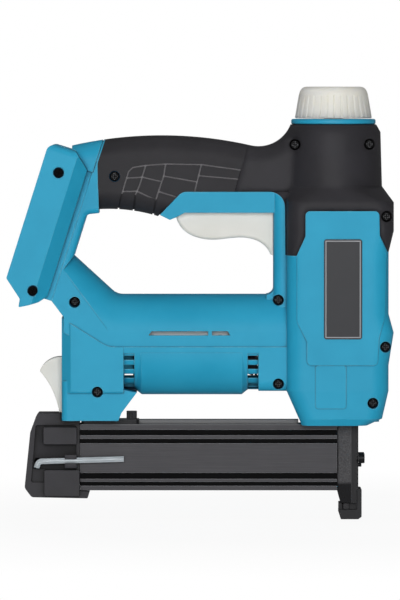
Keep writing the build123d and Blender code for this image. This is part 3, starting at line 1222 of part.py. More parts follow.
def end_cap_outline():
    rear = CAP_REAR
    return [(rear + 8.9, 68.9), (BOX_REAR - 0.8, 68.9), (BOX_REAR - 0.8, FOOT_Z - 0.5), (MAG_REAR - 0.2, FOOT_Z - 0.5),
            (MAG_REAR - 0.2, MAG_Z - 0.4), (MAG_REAR + 6.4, MAG_Z - 0.6), (MAG_REAR + 5, 13.7), (rear + 4.6, 14.4),
            (rear, 20.5), (rear + 3.7, 56.6), (rear + 7.4, 66.8)]


def magazine_end_cap():
    body = side_plate(end_cap_outline(), -CAP_HALF, CAP_HALF, [1, 0.5, 0, 0.5, 0, 1, 1, 3, 4, 6, 2])
    rim_x, rim_z = CAP_REAR + 4.3, MAG_Z + 5.2
    field = [(rim_x, rim_z), (rim_x + 3, 61.2), (MAG_REAR - 2.4, 61.2), (MAG_REAR - 2.4, rim_z)]
    sunk = side_plate(field, CAP_HALF - CAP_FIELD, CAP_HALF + 1, 1.2)
    pad = block(rim_x + 0.4, -199, CAP_HALF - CAP_FIELD - 0.5, CAP_HALF - CAP_FIELD / 2, rim_z - 0.5, rim_z + 8.7)
    body = body - both_sides(sunk) + both_sides(pad)
    clips = block(-200.5, -179, CAP_HALF - CAP_FIELD - 0.5, CAP_CLIP_HALF, 49, 60)
    clips = clips + block(-200, MAG_REAR - 0.2, CAP_HALF - CAP_FIELD - 0.5, CAP_CLIP_HALF, 15.3, 32.2)
    clips = fillet(clips.edges().filter_by(Axis.Y), 1.0)
    body = body + both_sides(clips)
    key_clip = block(-186, -179.6, -CAP_CLIP_HALF, -CAP_HALF + CAP_FIELD + 0.5, KEY_Z - 4.2, KEY_Z + 3.6)
    body = body + key_clip
    groove = block(-215, MAG_REAR + 2, -REACH, KEY_Y + KEY_AF / 2 + 0.4, KEY_Z - 2.9, KEY_Z + 1.9)
    body = body - groove - rod_y(-REACH, 6.0, KEY_AF / 2 + 0.7, KEY_BEND_X, KEY_Z - 0.8)
    body = body - block(KEY_BEND_X - 2.2, KEY_BEND_X + 4, -REACH, KEY_Y + 4, KEY_Z - 2.9, KEY_Z + 1.3)
    rear = MAG_REAR - 16
    body = body - block(rear, 0, -SHOE_HALF - FIT, SHOE_HALF + FIT, MAG_Z - FIT, MAG_Z + SHOE_T + FIT)
    return body - block(rear, 0, -CORE_HALF - FIT, CORE_HALF + FIT, MAG_Z, CORE_TOP + FIT)


def hex_key():
    tilt = tan(radians(1.6))
    rear_z = KEY_Z - 0.8
    front_z = rear_z + (KEY_LONG_END - KEY_BEND_X) * tilt
    path = FilletPolyline((KEY_LONG_END, KEY_Y, front_z), (KEY_BEND_X, KEY_Y, rear_z), (KEY_BEND_X, 4.0, rear_z),
                          radius=3.6)
    start = Plane(origin=path @ 0, x_dir=(0, 1, 0), z_dir=path % 0)
    return sweep(start * RegularPolygon(KEY_AF / 2, 6, major_radius=False), path=path)


def pusher():
    front = MAG_FRONT - 1.0
    rear = front - 13
    body = block(rear, front, -STAPLE_HALF + 0.3, STAPLE_HALF - 0.3, MAG_Z + SHOE_T + 1.0, TRACK_TOP - 0.3)
    head = block(rear - 6, front - 1, -ATTIC_HALF + 0.5, ATTIC_HALF - 0.5, TRACK_TOP + 0.4, ATTIC_TOP - 0.5)
    head = head - rod_y(-3.4, 3.4, 5.2, rear + 3, TRACK_TOP + 6)
    head = head - block(rear + 3, front, -3.4, 3.4, ATTIC_TOP - 2.4, ATTIC_TOP)
    neck = block(rear, front - 1, -STAPLE_HALF + 0.3, STAPLE_HALF - 0.3, TRACK_TOP - 1, TRACK_TOP + 1)
    core = block(rear - 1, front + 1, -CORE_HALF - 0.3, CORE_HALF + 0.3, MAG_Z, CORE_TOP + 0.3)
    return body + head + neck - core


def pusher_spring():
    front = MAG_FRONT - 1.0
    rear = front - 13
    roll = rod_y(-3.1, 3.1, 4.9, rear + 3, TRACK_TOP + 6) - rod_y(-4, 4, 3.2, rear + 3, TRACK_TOP + 6)
    tongue = block(rear + 3, front - 0.2, -3.1, 3.1, ATTIC_TOP - 1.5, ATTIC_TOP - 1.1)
    tongue = tongue + block(rear + 3, rear + 3.5, -3.1, 3.1, TRACK_TOP + 9.5, ATTIC_TOP - 1.1)
    return roll + tongue


def magazine_bracket():
    plate = block(MAG_REAR + 0.8, -138.8, -10, 10, MAG_TOP, FOOT_Z)
    plate = fillet(plate.edges().filter_by(Axis.Z), 2.0)
    plate = plate - block(BOX_FRONT + 0.8, -130, -7.2, 7.2, MAG_TOP, FOOT_Z + 1)
    return plate - rod_z(MAG_TOP - 1, FOOT_Z + 2, 2.0 + FIT / 2, -143.5)


def bracket_screw():
    head = rod_z(FOOT_Z, FOOT_Z + 5.2, 3.4, -143.5)
    for i in range(18):
        angle = 2 * pi * i / 18
        head = head - rod_z(FOOT_Z - 1, FOOT_Z + 6, 0.35, -143.5 + 3.5 * cos(angle), 3.5 * sin(angle))
    socket = extrude(Plane(origin=(-143.5, 0, FOOT_Z + 2.8)) * RegularPolygon(1.7, 6), amount=4)
    return head - socket + rod_z(MAG_TOP - 2.5, FOOT_Z + 1, 2.0, -143.5)


# Latch

def magazine_latch():
    wall = BOX_REAR
    crown = ThreePointArc((wall + 2.2, 0, 105.0), (wall - 8.0, 0, 103.6), (wall - 14.4, 0, 97.0))
    thumb = ThreePointArc((wall - 14.4, 0, 96.0), (wall - 6.5, 0, 84.0), (wall - 2.0, 0, 69.4))
    tip = Line(crown @ 1, thumb @ 0)
    inner = Polyline(thumb @ 1, (LATCH_PIN_X + 1, 0, 69.4), (LATCH_PIN_X + 3, 0, LATCH_PIN_Z + 3), (wall + 2.2, 0, 84),
                     crown @ 0)
    body = slab(make_face(Curve() + [crown, tip, thumb, inner]), LATCH_HALF)
    body = body + block(LATCH_PIN_X, LATCH_PIN_X + LATCH_ARM_L, -4, 4, LATCH_ARM_Z, LATCH_ARM_Z + 3)
    return body - rod_y(-REACH, REACH, LATCH_PIN_R + RUN, LATCH_PIN_X, LATCH_PIN_Z)


def latch_pin():
    return rod_y(-14.5, 14.5, LATCH_PIN_R, LATCH_PIN_X, LATCH_PIN_Z)


def latch_spring():
    floor = FOOT_Z + WALL + FIT + LATCH_WIRE_R
    height = LATCH_ARM_Z - FIT - LATCH_WIRE_R - floor
    return Pos(LATCH_SPRING_X, 0, floor) * coil(2.6, LATCH_WIRE_R, height, 5)


def save(shape, name):
    export_step(shape, f"parts/{name}.step")


def group(solids):
    return Compound(children=[s if isinstance(s, Solid) else main_solid(s) for s in solids])


def main():
    os.makedirs("parts", exist_ok=True)
    body, cover, rubber = shell_pieces()
    save(main_solid(right_half(body)), "right_housing")
    save(main_solid(left_half(body)), "left_housing")
    save(main_solid(right_half(cover)), "right_head_cover")
    save(main_solid(left_half(cover)), "left_head_cover")
    save(main_solid(right_half(rubber)), "right_grip")
    save(main_solid(left_half(rubber)), "left_grip")
    save(guard_half(-1), "right_battery_guard")
    save(guard_half(1), "left_battery_guard")
    for make in (power_knob, head_collar, adjuster_spindle, spring_seat, cylinder_cap, drive_cylinder, bumper,
                 main_spring, hammer, driver_blade, blade_clamp, gearbox_case, output_carrier, output_bearing,
                 lifter_wheel, motor_rotor, cooling_fan, motor_can, motor_end_cap, control_board, trigger,
                 trigger_pin, trigger_switch, trigger_spring, battery_carrier, rating_plate, work_light, nose_base,
                 nose_front_plate, contact_strap, no_mar_tip, contact_foot, contact_spring, safety_switch, magazine_channel,
                 magazine_rail, magazine_end_cap, hex_key, pusher, pusher_spring, magazine_bracket, bracket_screw,
                 magazine_latch, latch_pin, latch_spring):
        save(make(), make.__name__)
    for i in range(PLANETS):
        save(planet_gear(i), f"planet_gear_{i + 1}")
    save(group(housing_screws()), "housing_screws")
    save(group(guard_screws()), "battery_guard_screws")
    save(group(nose_screws()), "nose_screws")
    save(group(terminal_blades()), "terminal_blades")


if __name__ == "__main__":
    main()
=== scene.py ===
import bpy
from math import radians, sin, cos, pi, atan2
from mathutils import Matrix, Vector


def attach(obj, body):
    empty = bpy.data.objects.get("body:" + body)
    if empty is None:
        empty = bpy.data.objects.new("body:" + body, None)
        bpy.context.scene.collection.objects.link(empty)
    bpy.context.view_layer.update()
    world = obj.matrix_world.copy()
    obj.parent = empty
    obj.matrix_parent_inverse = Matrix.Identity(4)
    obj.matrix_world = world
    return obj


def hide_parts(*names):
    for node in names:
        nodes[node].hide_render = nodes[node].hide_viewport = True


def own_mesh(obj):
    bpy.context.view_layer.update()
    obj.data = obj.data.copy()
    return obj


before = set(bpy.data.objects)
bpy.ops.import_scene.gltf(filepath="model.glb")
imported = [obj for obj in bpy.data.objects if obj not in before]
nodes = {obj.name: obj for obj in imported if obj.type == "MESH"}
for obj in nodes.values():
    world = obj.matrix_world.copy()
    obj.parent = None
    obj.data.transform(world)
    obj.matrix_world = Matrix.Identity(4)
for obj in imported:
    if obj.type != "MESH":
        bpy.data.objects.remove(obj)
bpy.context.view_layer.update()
print("frame loaded,", len(nodes), "nodes")

scene = bpy.context.scene
scene.view_settings.view_transform = "Standard"


# camera: long lens, almost square to the tool's right side
camSpec = {"aim": (-0.0991, 0.0, 0.1420), "distance": 4.0, "rise": 2.0, "tall": 0.390, "sensor": 36,
           "near": 0.05, "far": 50}


def addCamera(spec):
    aim, rise = Vector(spec["aim"]), radians(spec["rise"])
    back = Vector((0, -cos(rise), sin(rise)))
    data = bpy.data.cameras.new("photoCamera")
    data.sensor_width = spec["sensor"]
    data.lens = spec["distance"] * spec["sensor"] / spec["tall"]   # the frame's long side is upright
    data.clip_start, data.clip_end = spec["near"], spec["far"]
    cam = bpy.data.objects.new("photoCamera", data)
    cam.location = aim + back * spec["distance"]
    cam.rotation_mode = "QUATERNION"
    cam.rotation_quaternion = (-back).to_track_quat("-Z", "Y")
    scene.collection.objects.link(cam)
    scene.camera = cam


addCamera(camSpec)
print("camera set")


# a socket that takes Python maths, and one method for every other node
class Wire:
    def __init__(self, tree, socket=None):
        self.tree, self.socket = tree, socket

    def node(self, kind, settings=None, sockets=None, out=0):
        made = self.tree.nodes.new(kind)
        for key, value in (settings or {}).items():
            setattr(made, key, value)
        for key, value in (sockets or {}).items():
            if isinstance(value, Wire):
                self.tree.links.new(value.socket, made.inputs[key])
            else:
                made.inputs[key].default_value = value
        return Wire(self.tree, made.outputs[out])

    def calc(self, operation, *others):
        return self.node("ShaderNodeMath", {"operation": operation}, dict(enumerate((self,) + others)))

    def flip(self, operation, other):
        return self.node("ShaderNodeMath", {"operation": operation}, {0: other, 1: self})

    def __add__(self, other):
        return self.calc("ADD", other)

    def __radd__(self, other):
        return self.calc("ADD", other)

    def __sub__(self, other):
        return self.calc("SUBTRACT", other)

    def __rsub__(self, other):
        return self.flip("SUBTRACT", other)

    def __mul__(self, other):
        return self.calc("MULTIPLY", other)

    def __rmul__(self, other):
        return self.calc("MULTIPLY", other)

    def __pow__(self, other):
        return self.calc("POWER", other)

    def clip(self):
        return self.node("ShaderNodeClamp", None, {"Value": self})

    def span(self, low, high, toLow=0.0, toHigh=1.0):
        # from one range to another, held inside the second
        return self.node("ShaderNodeMapRange", None, {"Value": self, "From Min": low, "From Max": high,
                                                      "To Min": toLow, "To Max": toHigh})


def linear(r, g, b):
    # screen values from 0 to 255, as a linear colour
    parts = [c / 255 for c in (r, g, b)]
    return tuple(c / 12.92 if c <= 0.04045 else ((c + 0.055) / 1.055) ** 2.4 for c in parts) + (1.0,)


def startFinish(name):
    mat = bpy.data.materials.new(name)
    mat.use_nodes = True
    tree = mat.node_tree
    return mat, Wire(tree), tree.nodes["Principled BSDF"]


def place(w, scale=(1, 1, 1)):
    coords = w.node("ShaderNodeTexCoord", out="Object")
    return w.node("ShaderNodeMapping", None, {"Vector": coords, "Scale": scale})


def noise(w, vector, scale, detail=2.0, rough=0.5):
    return w.node("ShaderNodeTexNoise", None, {"Vector": vector, "Scale": scale, "Detail": detail,
                                               "Roughness": rough})


def mixColour(w, share, first, second):
    # sockets by number, because a Mix node has several of each name
    return w.node("ShaderNodeMix", {"data_type": "RGBA"}, {0: share, 6: first, 7: second}, out=2)


# from none to full: lean of a normal at an edge, openness of a seam, squareness of a face to the side
edgeSpec = {"samples": 6, "lean": (0.01, 0.22)}
pitSpec = {"samples": 6, "open": (0.2, 0.8)}
flatFace = (0.4, 0.7)


def edgeOf(w, width):
    # rounded normal near edges, and how far it leans from the flat one
    soft = w.node("ShaderNodeBevel", {"samples": edgeSpec["samples"]}, {"Radius": width})
    flat = w.node("ShaderNodeNewGeometry", out="Normal")
    lean = w.node("ShaderNodeVectorMath", {"operation": "DOT_PRODUCT"}, {0: soft, 1: flat}, out="Value")
    return soft, (1 - lean).span(*edgeSpec["lean"])


def paintedCreviceShade(w, reach, pit=pitSpec["open"]):
    # 0 deep in wells and seams, 1 out in the open; painted shade is laid where it is low
    seen = w.node("ShaderNodeAmbientOcclusion", {"samples": pitSpec["samples"]}, {"Distance": reach}, out="AO")
    return seen.span(*pit)


def axes(w):
    split = w.node("ShaderNodeSeparateXYZ", None, {"Vector": place(w)})
    return [Wire(w.tree, socket) for socket in split.socket.node.outputs]


def facing(w):
    # how squarely a face looks to the tool's left or right
    normal = w.node("ShaderNodeNewGeometry", out="True Normal")
    return w.node("ShaderNodeSeparateXYZ", None, {"Vector": normal}, out="Y").calc("ABSOLUTE")


def sunkFloor(w, depth):
    # 1 where a side face lies nearer to the middle plane than these limits
    x, y, z = axes(w)
    return (1 - y.calc("ABSOLUTE").span(*depth)) * facing(w).span(*flatFace)


def bump(w, height, depth, strength, normal):
    return w.node("ShaderNodeBump", None, {"Height": height, "Distance": depth, "Strength": strength,
                                           "Normal": normal})


def feed(w, shader, **links):
    for key, value in links.items():
        w.tree.links.new(value.socket, shader.inputs[key.replace("_", " ")])


# plastic and rubber: fine grain, clouds of tone, edges lightened by wear and by painted highlight, and painted
# shade in seams and wells. Noise as scale, detail and roughness, where the grain's scale is each finish's own
plasticSpec = {"grain": (3.0, 0.6), "cloud": (28.0, 3.0, 0.55), "scuff": (160.0, 4.0, 0.7),
               "scuffRun": (1.0, 1.0, 0.25), "toneSpan": (0.35, 0.65), "scuffSpan": (0.3, 0.7),
               "dullGrain": 0.10, "dullCloud": 0.10, "glossEdge": 0.08,
               "milkTint": (1.0, 0.95, 0.85), "milkReach": 0.02}


def mouldedPlastic(name, spec):
    base = plasticSpec
    mat, w, shader = startFinish(name)
    at = place(w)
    soft, edge = edgeOf(w, spec["edge"])
    grain = noise(w, at, spec["grain"], *base["grain"])
    cloud = noise(w, at, *base["cloud"])
    scuff = noise(w, place(w, base["scuffRun"]), *base["scuff"])
    tone = mixColour(w, cloud.span(*base["toneSpan"]), spec["dark"], spec["light"])
    # edges lightened by wear and by painted highlight, broken up by scuffs
    tone = mixColour(w, edge * spec["wearAndHighlight"] * scuff.span(*base["scuffSpan"]), tone, spec["wornAndHighlight"])
    rough = spec["rough"] + (grain - 0.5) * base["dullGrain"] + (cloud - 0.5) * base["dullCloud"]
    rough = rough - edge * base["glossEdge"]
    if "detail" in spec:
        tone, rough = spec["detail"](w, tone, rough)
    # painted shade darkens wells, seams and hollows
    if "deep" in spec:
        tone = mixColour(w, paintedCreviceShade(w, spec["reach"], spec.get("pit", pitSpec["open"])), spec["deep"], tone)
    feed(w, shader, Base_Color=tone, Roughness=rough.clip(),
         Normal=bump(w, grain, spec["depth"], spec["bump"], soft))
    shader.inputs["Specular IOR Level"].default_value = spec["gloss"]
    if "milk" in spec:
        shader.inputs["Subsurface Weight"].default_value = spec["milk"]   # light spreads a little way in
        shader.inputs["Subsurface Radius"].default_value = base["milkTint"]
        shader.inputs["Subsurface Scale"].default_value = base["milkReach"]
    return mat


wellSpec = {"x": -0.1544, "z": 0.2226, "rim": (0.0046, 0.0052), "shade": linear(14, 14, 15)}


def wellShade(w, tone, rough):
    # the boss under the grip's screw lies in the shade of its well
    x, y, z = axes(w)
    far = ((x - wellSpec["x"]) ** 2 + (z - wellSpec["z"]) ** 2).calc("SQRT")
    return mixColour(w, far.span(*wellSpec["rim"]), wellSpec["shade"], tone), rough


fieldSpec = {"depth": (0.0113, 0.0127), "shade": linear(46, 45, 49), "dull": 0.1}


def capField(w, tone, rough):
    # the cap's sunk field is darker and duller than its rim and pads
    floor = sunkFloor(w, fieldSpec["depth"])
    return mixColour(w, floor, tone, fieldSpec["shade"]), rough + floor * fieldSpec["dull"]


frameSpec = {"x": -0.0070, "z": 0.1502, "halfX": 0.0122, "halfZ": 0.03215, "outer": (-0.0010, -0.0007),
             "inner": (-0.0016, -0.0013), "line": linear(150, 152, 156)}


def plateFrame(w, tone, rough):
    # a thin bare line inside the plate's edge
    x, y, z = axes(w)
    acrossX = (x - frameSpec["x"]).calc("ABSOLUTE") - frameSpec["halfX"]
    acrossZ = (z - frameSpec["z"]).calc("ABSOLUTE") - frameSpec["halfZ"]
    inset = acrossX.calc("MAXIMUM", acrossZ)
    line = inset.span(*frameSpec["inner"]) * (1 - inset.span(*frameSpec["outer"]))
    return mixColour(w, line, tone, frameSpec["line"]), rough


grooveSpec = {"floor": (0.0156, 0.0160), "rim": (0.01630, 0.01665), "flat": (0.985, 0.995),
              "line": linear(126, 124, 127)}


def gripLines(w, tone, rough):
    # groove floors catch the light on the flat of the grip only
    x, y, z = axes(w)
    out = y.calc("ABSOLUTE")
    lines = (1 - out.span(*grooveSpec["rim"])) * out.span(*grooveSpec["floor"])
    return mixColour(w, lines * facing(w).span(*grooveSpec["flat"]), tone, grooveSpec["line"]), rough


# each finish's deep tone is painted shade for its wells and seams, and its edge tone is wear with painted highlight
bluePlastic = mouldedPlastic("bluePlastic", {
    "dark": linear(31, 150, 186), "light": linear(39, 156, 192), "wornAndHighlight": linear(130, 198, 219), "wearAndHighlight": 0.95,
    "rough": 0.56, "grain": 2600.0, "depth": 0.00006, "bump": 0.35, "edge": 0.0011, "gloss": 0.22,
    "deep": linear(4, 58, 84), "reach": 0.004, "detail": wellShade})
collarBlue = mouldedPlastic("collarBlue", {
    "dark": linear(31, 150, 186), "light": linear(39, 156, 192), "wornAndHighlight": linear(118, 190, 212), "wearAndHighlight": 0.5,
    "rough": 0.5, "grain": 2600.0, "depth": 0.00005, "bump": 0.3, "edge": 0.0018, "gloss": 0.3,
    "deep": linear(8, 42, 56), "reach": 0.0015})
coverPlastic = mouldedPlastic("coverPlastic", {
    "dark": linear(40, 39, 42), "light": linear(47, 46, 50), "wornAndHighlight": linear(78, 77, 81), "wearAndHighlight": 0.3,
    "rough": 0.56, "grain": 2200.0, "depth": 0.00008, "bump": 0.4, "edge": 0.006, "gloss": 0.17,
    "deep": linear(12, 12, 13), "reach": 0.004})
blackPlastic = mouldedPlastic("blackPlastic", {
    "dark": linear(36, 35, 38), "light": linear(44, 43, 46), "wornAndHighlight": linear(84, 83, 87), "wearAndHighlight": 0.35,
    "rough": 0.52, "grain": 2200.0, "depth": 0.00008, "bump": 0.4, "edge": 0.0008, "gloss": 0.2})
whitePlastic = mouldedPlastic("whitePlastic", {
    "dark": linear(216, 214, 206), "light": linear(223, 221, 214), "wornAndHighlight": linear(234, 233, 227), "wearAndHighlight": 0.3,
    "rough": 0.46, "grain": 2600.0, "depth": 0.00004, "bump": 0.25, "edge": 0.0009, "gloss": 0.25})
knobWhite = mouldedPlastic("knobWhite", {
    "dark": linear(224, 222, 213), "light": linear(231, 229, 221), "wornAndHighlight": linear(240, 239, 233), "wearAndHighlight": 0.3,
    "rough": 0.46, "grain": 2600.0, "depth": 0.00004, "bump": 0.25, "edge": 0.0006, "gloss": 0.25, "milk": 0.9})
capNylon = mouldedPlastic("capNylon", {
    "dark": linear(36, 35, 38), "light": linear(48, 47, 51), "wornAndHighlight": linear(92, 91, 95), "wearAndHighlight": 0.5,
    "rough": 0.55, "grain": 2800.0, "depth": 0.00012, "bump": 0.7, "edge": 0.0006, "gloss": 0.26,
    "deep": linear(5, 5, 6), "reach": 0.010, "pit": (0.5, 0.92), "detail": capField})
tipRubber = mouldedPlastic("tipRubber", {
    "dark": linear(30, 30, 32), "light": linear(40, 40, 42), "wornAndHighlight": linear(74, 74, 76), "wearAndHighlight": 0.4,
    "rough": 0.6, "grain": 1500.0, "depth": 0.0001, "bump": 0.4, "edge": 0.0006, "gloss": 0.22})
gripRubber = mouldedPlastic("gripRubber", {
    "dark": linear(38, 37, 40), "light": linear(45, 44, 47), "wornAndHighlight": linear(80, 79, 83), "wearAndHighlight": 0.4,
    "rough": 0.6, "grain": 1800.0, "depth": 0.00012, "bump": 0.5, "edge": 0.0005, "gloss": 0.18,
    "deep": linear(11, 11, 12), "reach": 0.003, "detail": gripLines})
plateFilm = mouldedPlastic("plateFilm", {
    "dark": linear(34, 35, 39), "light": linear(40, 41, 45), "wornAndHighlight": linear(150, 149, 152), "wearAndHighlight": 0.9,
    "rough": 0.45, "grain": 3000.0, "depth": 0.00002, "bump": 0.2, "edge": 0.0005, "gloss": 0.2,
    "detail": plateFrame})


# metal: fine lines along the way it was worked, soft clouds of gloss, edges lightened by wear and by painted
# highlight, and painted shade in hollows
metalSpec = {"lines": (4.0, 0.65), "cloud": (45.0, 3.0, 0.6), "toneSpan": (0.3, 0.7), "dullLines": 0.18,
             "dullCloud": 0.12, "gloss": 0.5}


def workedMetal(name, spec):
    base = metalSpec
    mat, w, shader = startFinish(name)
    soft, edge = edgeOf(w, spec["edge"])
    lines = noise(w, place(w, spec["run"]), spec["lines"], *base["lines"])
    cloud = noise(w, place(w), *base["cloud"])
    tone = mixColour(w, lines.span(*base["toneSpan"]), spec["dark"], spec["light"])
    # edges lightened by wear and by painted highlight
    tone = mixColour(w, edge * spec["wearAndHighlight"], tone, spec["wornAndHighlight"])
    rough = spec["rough"] + (lines - 0.5) * base["dullLines"] + (cloud - 0.5) * base["dullCloud"]
    if "detail" in spec:
        tone, rough = spec["detail"](w, tone, rough)
    # painted shade darkens wells, seams and hollows
    if "deep" in spec:
        tone = mixColour(w, paintedCreviceShade(w, spec["reach"]), spec["deep"], tone)
    feed(w, shader, Base_Color=tone, Roughness=rough.clip(),
         Normal=bump(w, lines, spec["depth"], spec["bump"], soft))
    shader.inputs["Metallic"].default_value = spec["metal"]
    shader.inputs["Specular IOR Level"].default_value = spec.get("gloss", base["gloss"])
    return mat


channelSpec = {"depth": (0.0104, 0.0117), "shade": linear(9, 9, 10), "dull": 0.45,
               "ridge": (0.0612, 0.0616), "ridgeHighlight": linear(104, 104, 105)}


def grooveShade(w, tone, rough):
    # painted shade keeps the profile's grooves dark, its ribs and flats are rubbed, and a painted highlight
    # lightens the rib on top
    x, y, z = axes(w)
    ridge = z.span(*channelSpec["ridge"])
    floor = sunkFloor(w, channelSpec["depth"]) * (1 - ridge)
    tone = mixColour(w, floor, tone, channelSpec["shade"])
    return mixColour(w, ridge, tone, channelSpec["ridgeHighlight"]), rough + floor * channelSpec["dull"]


guideSpec = {"top": (0.0225, 0.0245), "shade": linear(22, 22, 24), "dull": 0.25}


def noseShade(w, tone, rough):
    # the guide below the magazine is oiled and darker
    x, y, z = axes(w)
    high = z.span(*guideSpec["top"])
    return mixColour(w, high, guideSpec["shade"], tone), rough + (1 - high) * guideSpec["dull"]


# each metal's deep tone is painted shade for its hollows, and its edge tone is wear with painted highlight
anodised = workedMetal("anodised", {
    "dark": linear(54, 53, 56), "light": linear(70, 69, 72), "wornAndHighlight": linear(196, 196, 199), "wearAndHighlight": 0.8,
    "run": (0.02, 1.0, 1.0), "lines": 1500.0, "depth": 0.00003, "bump": 0.3, "rough": 0.5, "metal": 0.1,
    "edge": 0.0004, "gloss": 0.2, "deep": linear(10, 10, 11), "reach": 0.003, "detail": grooveShade})
castNose = workedMetal("castNose", {
    "dark": linear(38, 37, 39), "light": linear(84, 83, 85), "wornAndHighlight": linear(128, 127, 128), "wearAndHighlight": 0.4,
    "run": (1.0, 1.0, 1.0), "lines": 1250.0, "depth": 0.0003, "bump": 0.9, "rough": 0.55, "metal": 0.1,
    "edge": 0.0005, "gloss": 0.25, "deep": linear(10, 10, 11), "reach": 0.004, "detail": noseShade})
blackSteel = workedMetal("blackSteel", {
    "dark": linear(20, 20, 22), "light": linear(33, 33, 35), "wornAndHighlight": linear(128, 128, 130), "wearAndHighlight": 0.7,
    "run": (1.0, 1.0, 0.1), "lines": 1400.0, "depth": 0.00003, "bump": 0.3, "rough": 0.45, "metal": 0.1,
    "edge": 0.0005, "gloss": 0.14})
screwBlack = workedMetal("screwBlack", {
    "dark": linear(6, 6, 7), "light": linear(11, 11, 12), "wornAndHighlight": linear(160, 161, 165), "wearAndHighlight": 1.0,
    "run": (1.0, 1.0, 1.0), "lines": 1200.0, "depth": 0.00003, "bump": 0.3, "rough": 0.5, "metal": 0.1,
    "edge": 0.0004, "gloss": 0.06, "deep": linear(3, 3, 3), "reach": 0.0012})
sunkScrew = workedMetal("sunkScrew", {
    "dark": linear(4, 4, 5), "light": linear(8, 8, 9), "wornAndHighlight": linear(60, 60, 62), "wearAndHighlight": 0.25,
    "run": (1.0, 1.0, 1.0), "lines": 1200.0, "depth": 0.00003, "bump": 0.3, "rough": 0.55, "metal": 0.1,
    "edge": 0.0003, "gloss": 0.03, "deep": linear(2, 2, 2), "reach": 0.004})
canZinc = workedMetal("canZinc", {
    "dark": linear(224, 232, 235), "light": linear(238, 243, 245), "wornAndHighlight": linear(246, 247, 248), "wearAndHighlight": 0.4,
    "run": (0.05, 1.0, 1.0), "lines": 1500.0, "depth": 0.00002, "bump": 0.25, "rough": 0.4, "metal": 0.2,
    "edge": 0.0003})
brightSteel = workedMetal("brightSteel", {
    "dark": linear(150, 158, 163), "light": linear(212, 219, 223), "wornAndHighlight": linear(240, 242, 243), "wearAndHighlight": 0.5,
    "run": (0.05, 1.0, 1.0), "lines": 1500.0, "depth": 0.00002, "bump": 0.25, "rough": 0.34, "metal": 0.25,
    "edge": 0.0003})
toolSteel = workedMetal("toolSteel", {
    "dark": linear(140, 142, 145), "light": linear(172, 174, 176), "wornAndHighlight": linear(206, 207, 208), "wearAndHighlight": 0.4,
    "run": (1.0, 1.0, 0.1), "lines": 1300.0, "depth": 0.00003, "bump": 0.3, "rough": 0.36, "metal": 0.9,
    "edge": 0.0003})
brassBlade = workedMetal("brassBlade", {
    "dark": linear(190, 158, 92), "light": linear(214, 184, 118), "wornAndHighlight": linear(232, 208, 150), "wearAndHighlight": 0.4,
    "run": (1.0, 1.0, 0.1), "lines": 1500.0, "depth": 0.00002, "bump": 0.25, "rough": 0.32, "metal": 0.9,
    "edge": 0.0003})


lensSpec = {"run": (1, 1, 0.2), "rings": 700.0, "span": (0.3, 0.7), "dark": linear(214, 222, 228),
            "light": linear(236, 240, 243), "rough": (0.06, 0.16), "clear": 0.4}


def clearLens(name, spec):
    mat, w, shader = startFinish(name)
    rings = noise(w, place(w, spec["run"]), spec["rings"])
    tone = mixColour(w, rings.span(*spec["span"]), spec["dark"], spec["light"])
    feed(w, shader, Base_Color=tone, Roughness=rings.span(*spec["span"], *spec["rough"]))
    shader.inputs["Transmission Weight"].default_value = spec["clear"]
    return mat


boardSpec = {"Scale": 260.0, "Mortar Size": 0.05, "Color1": linear(20, 74, 44), "Color2": linear(28, 90, 54),
             "Mortar": linear(60, 120, 70)}
boardDull = {"scale": 500.0, "span": (0.3, 0.7, 0.3, 0.5)}


def boardGreen(name):
    mat, w, shader = startFinish(name)
    tracks = w.node("ShaderNodeTexBrick", None, {"Vector": place(w), **boardSpec})
    feed(w, shader, Base_Color=tracks, Roughness=noise(w, place(w), boardDull["scale"]).span(*boardDull["span"]))
    return mat


lampLens = clearLens("lampLens", lensSpec)
circuitBoard = boardGreen("circuitBoard")
print("finishes made")

wearing = (
    (bluePlastic, "right_housing left_housing right_battery_guard left_battery_guard"),
    (collarBlue, "head_collar"),
    (coverPlastic, "right_head_cover left_head_cover"),
    (blackPlastic, "battery_carrier trigger_switch safety_switch motor_end_cap cooling_fan contact_foot"),
    (gripRubber, "right_grip left_grip bumper"),
    (whitePlastic, "power_knob trigger magazine_latch"),
    (capNylon, "magazine_end_cap"),
    (tipRubber, "no_mar_tip"),
    (plateFilm, "rating_plate"),
    (anodised, "magazine_channel"),
    (castNose, "nose_base cylinder_cap drive_cylinder gearbox_case"),
    (blackSteel, "nose_front_plate contact_strap nose_screws bracket_screw magazine_bracket"),
    (screwBlack, "housing_screws latch_pin trigger_pin"),
    (sunkScrew, "battery_guard_screws"),
    (brightSteel, "hex_key"),
    (canZinc, "motor_can"),
    (toolSteel, "adjuster_spindle spring_seat main_spring hammer driver_blade blade_clamp output_carrier"),
    (toolSteel, "output_bearing lifter_wheel motor_rotor trigger_spring contact_spring magazine_rail pusher"),
    (toolSteel, "pusher_spring latch_spring planet_gear_1 planet_gear_2 planet_gear_3"),
    (brassBlade, "terminal_blades"),
    (lampLens, "work_light"),
    (circuitBoard, "control_board"),
)
for mat, names in wearing:
    for name in names.split():
        nodes[name].data.materials.clear()
        nodes[name].data.materials.append(mat)
print("nodes dressed")


mergeSpan = 0.00001


def editAll():
    bpy.ops.object.mode_set(mode="EDIT")
    bpy.ops.mesh.select_all(action="SELECT")


def pick(obj, test):
    # select the points that pass the test, and go on in edit mode
    bpy.ops.object.mode_set(mode="EDIT")
    bpy.ops.mesh.select_mode(type="VERT")
    bpy.ops.mesh.select_all(action="DESELECT")
    bpy.ops.object.mode_set(mode="OBJECT")
    for point in obj.data.vertices:
        point.select = test(obj.matrix_world @ point.co)
    bpy.ops.object.mode_set(mode="EDIT")


def draw(shift):
    bpy.ops.mesh.extrude_region_move(TRANSFORM_OT_translate={"value": shift})


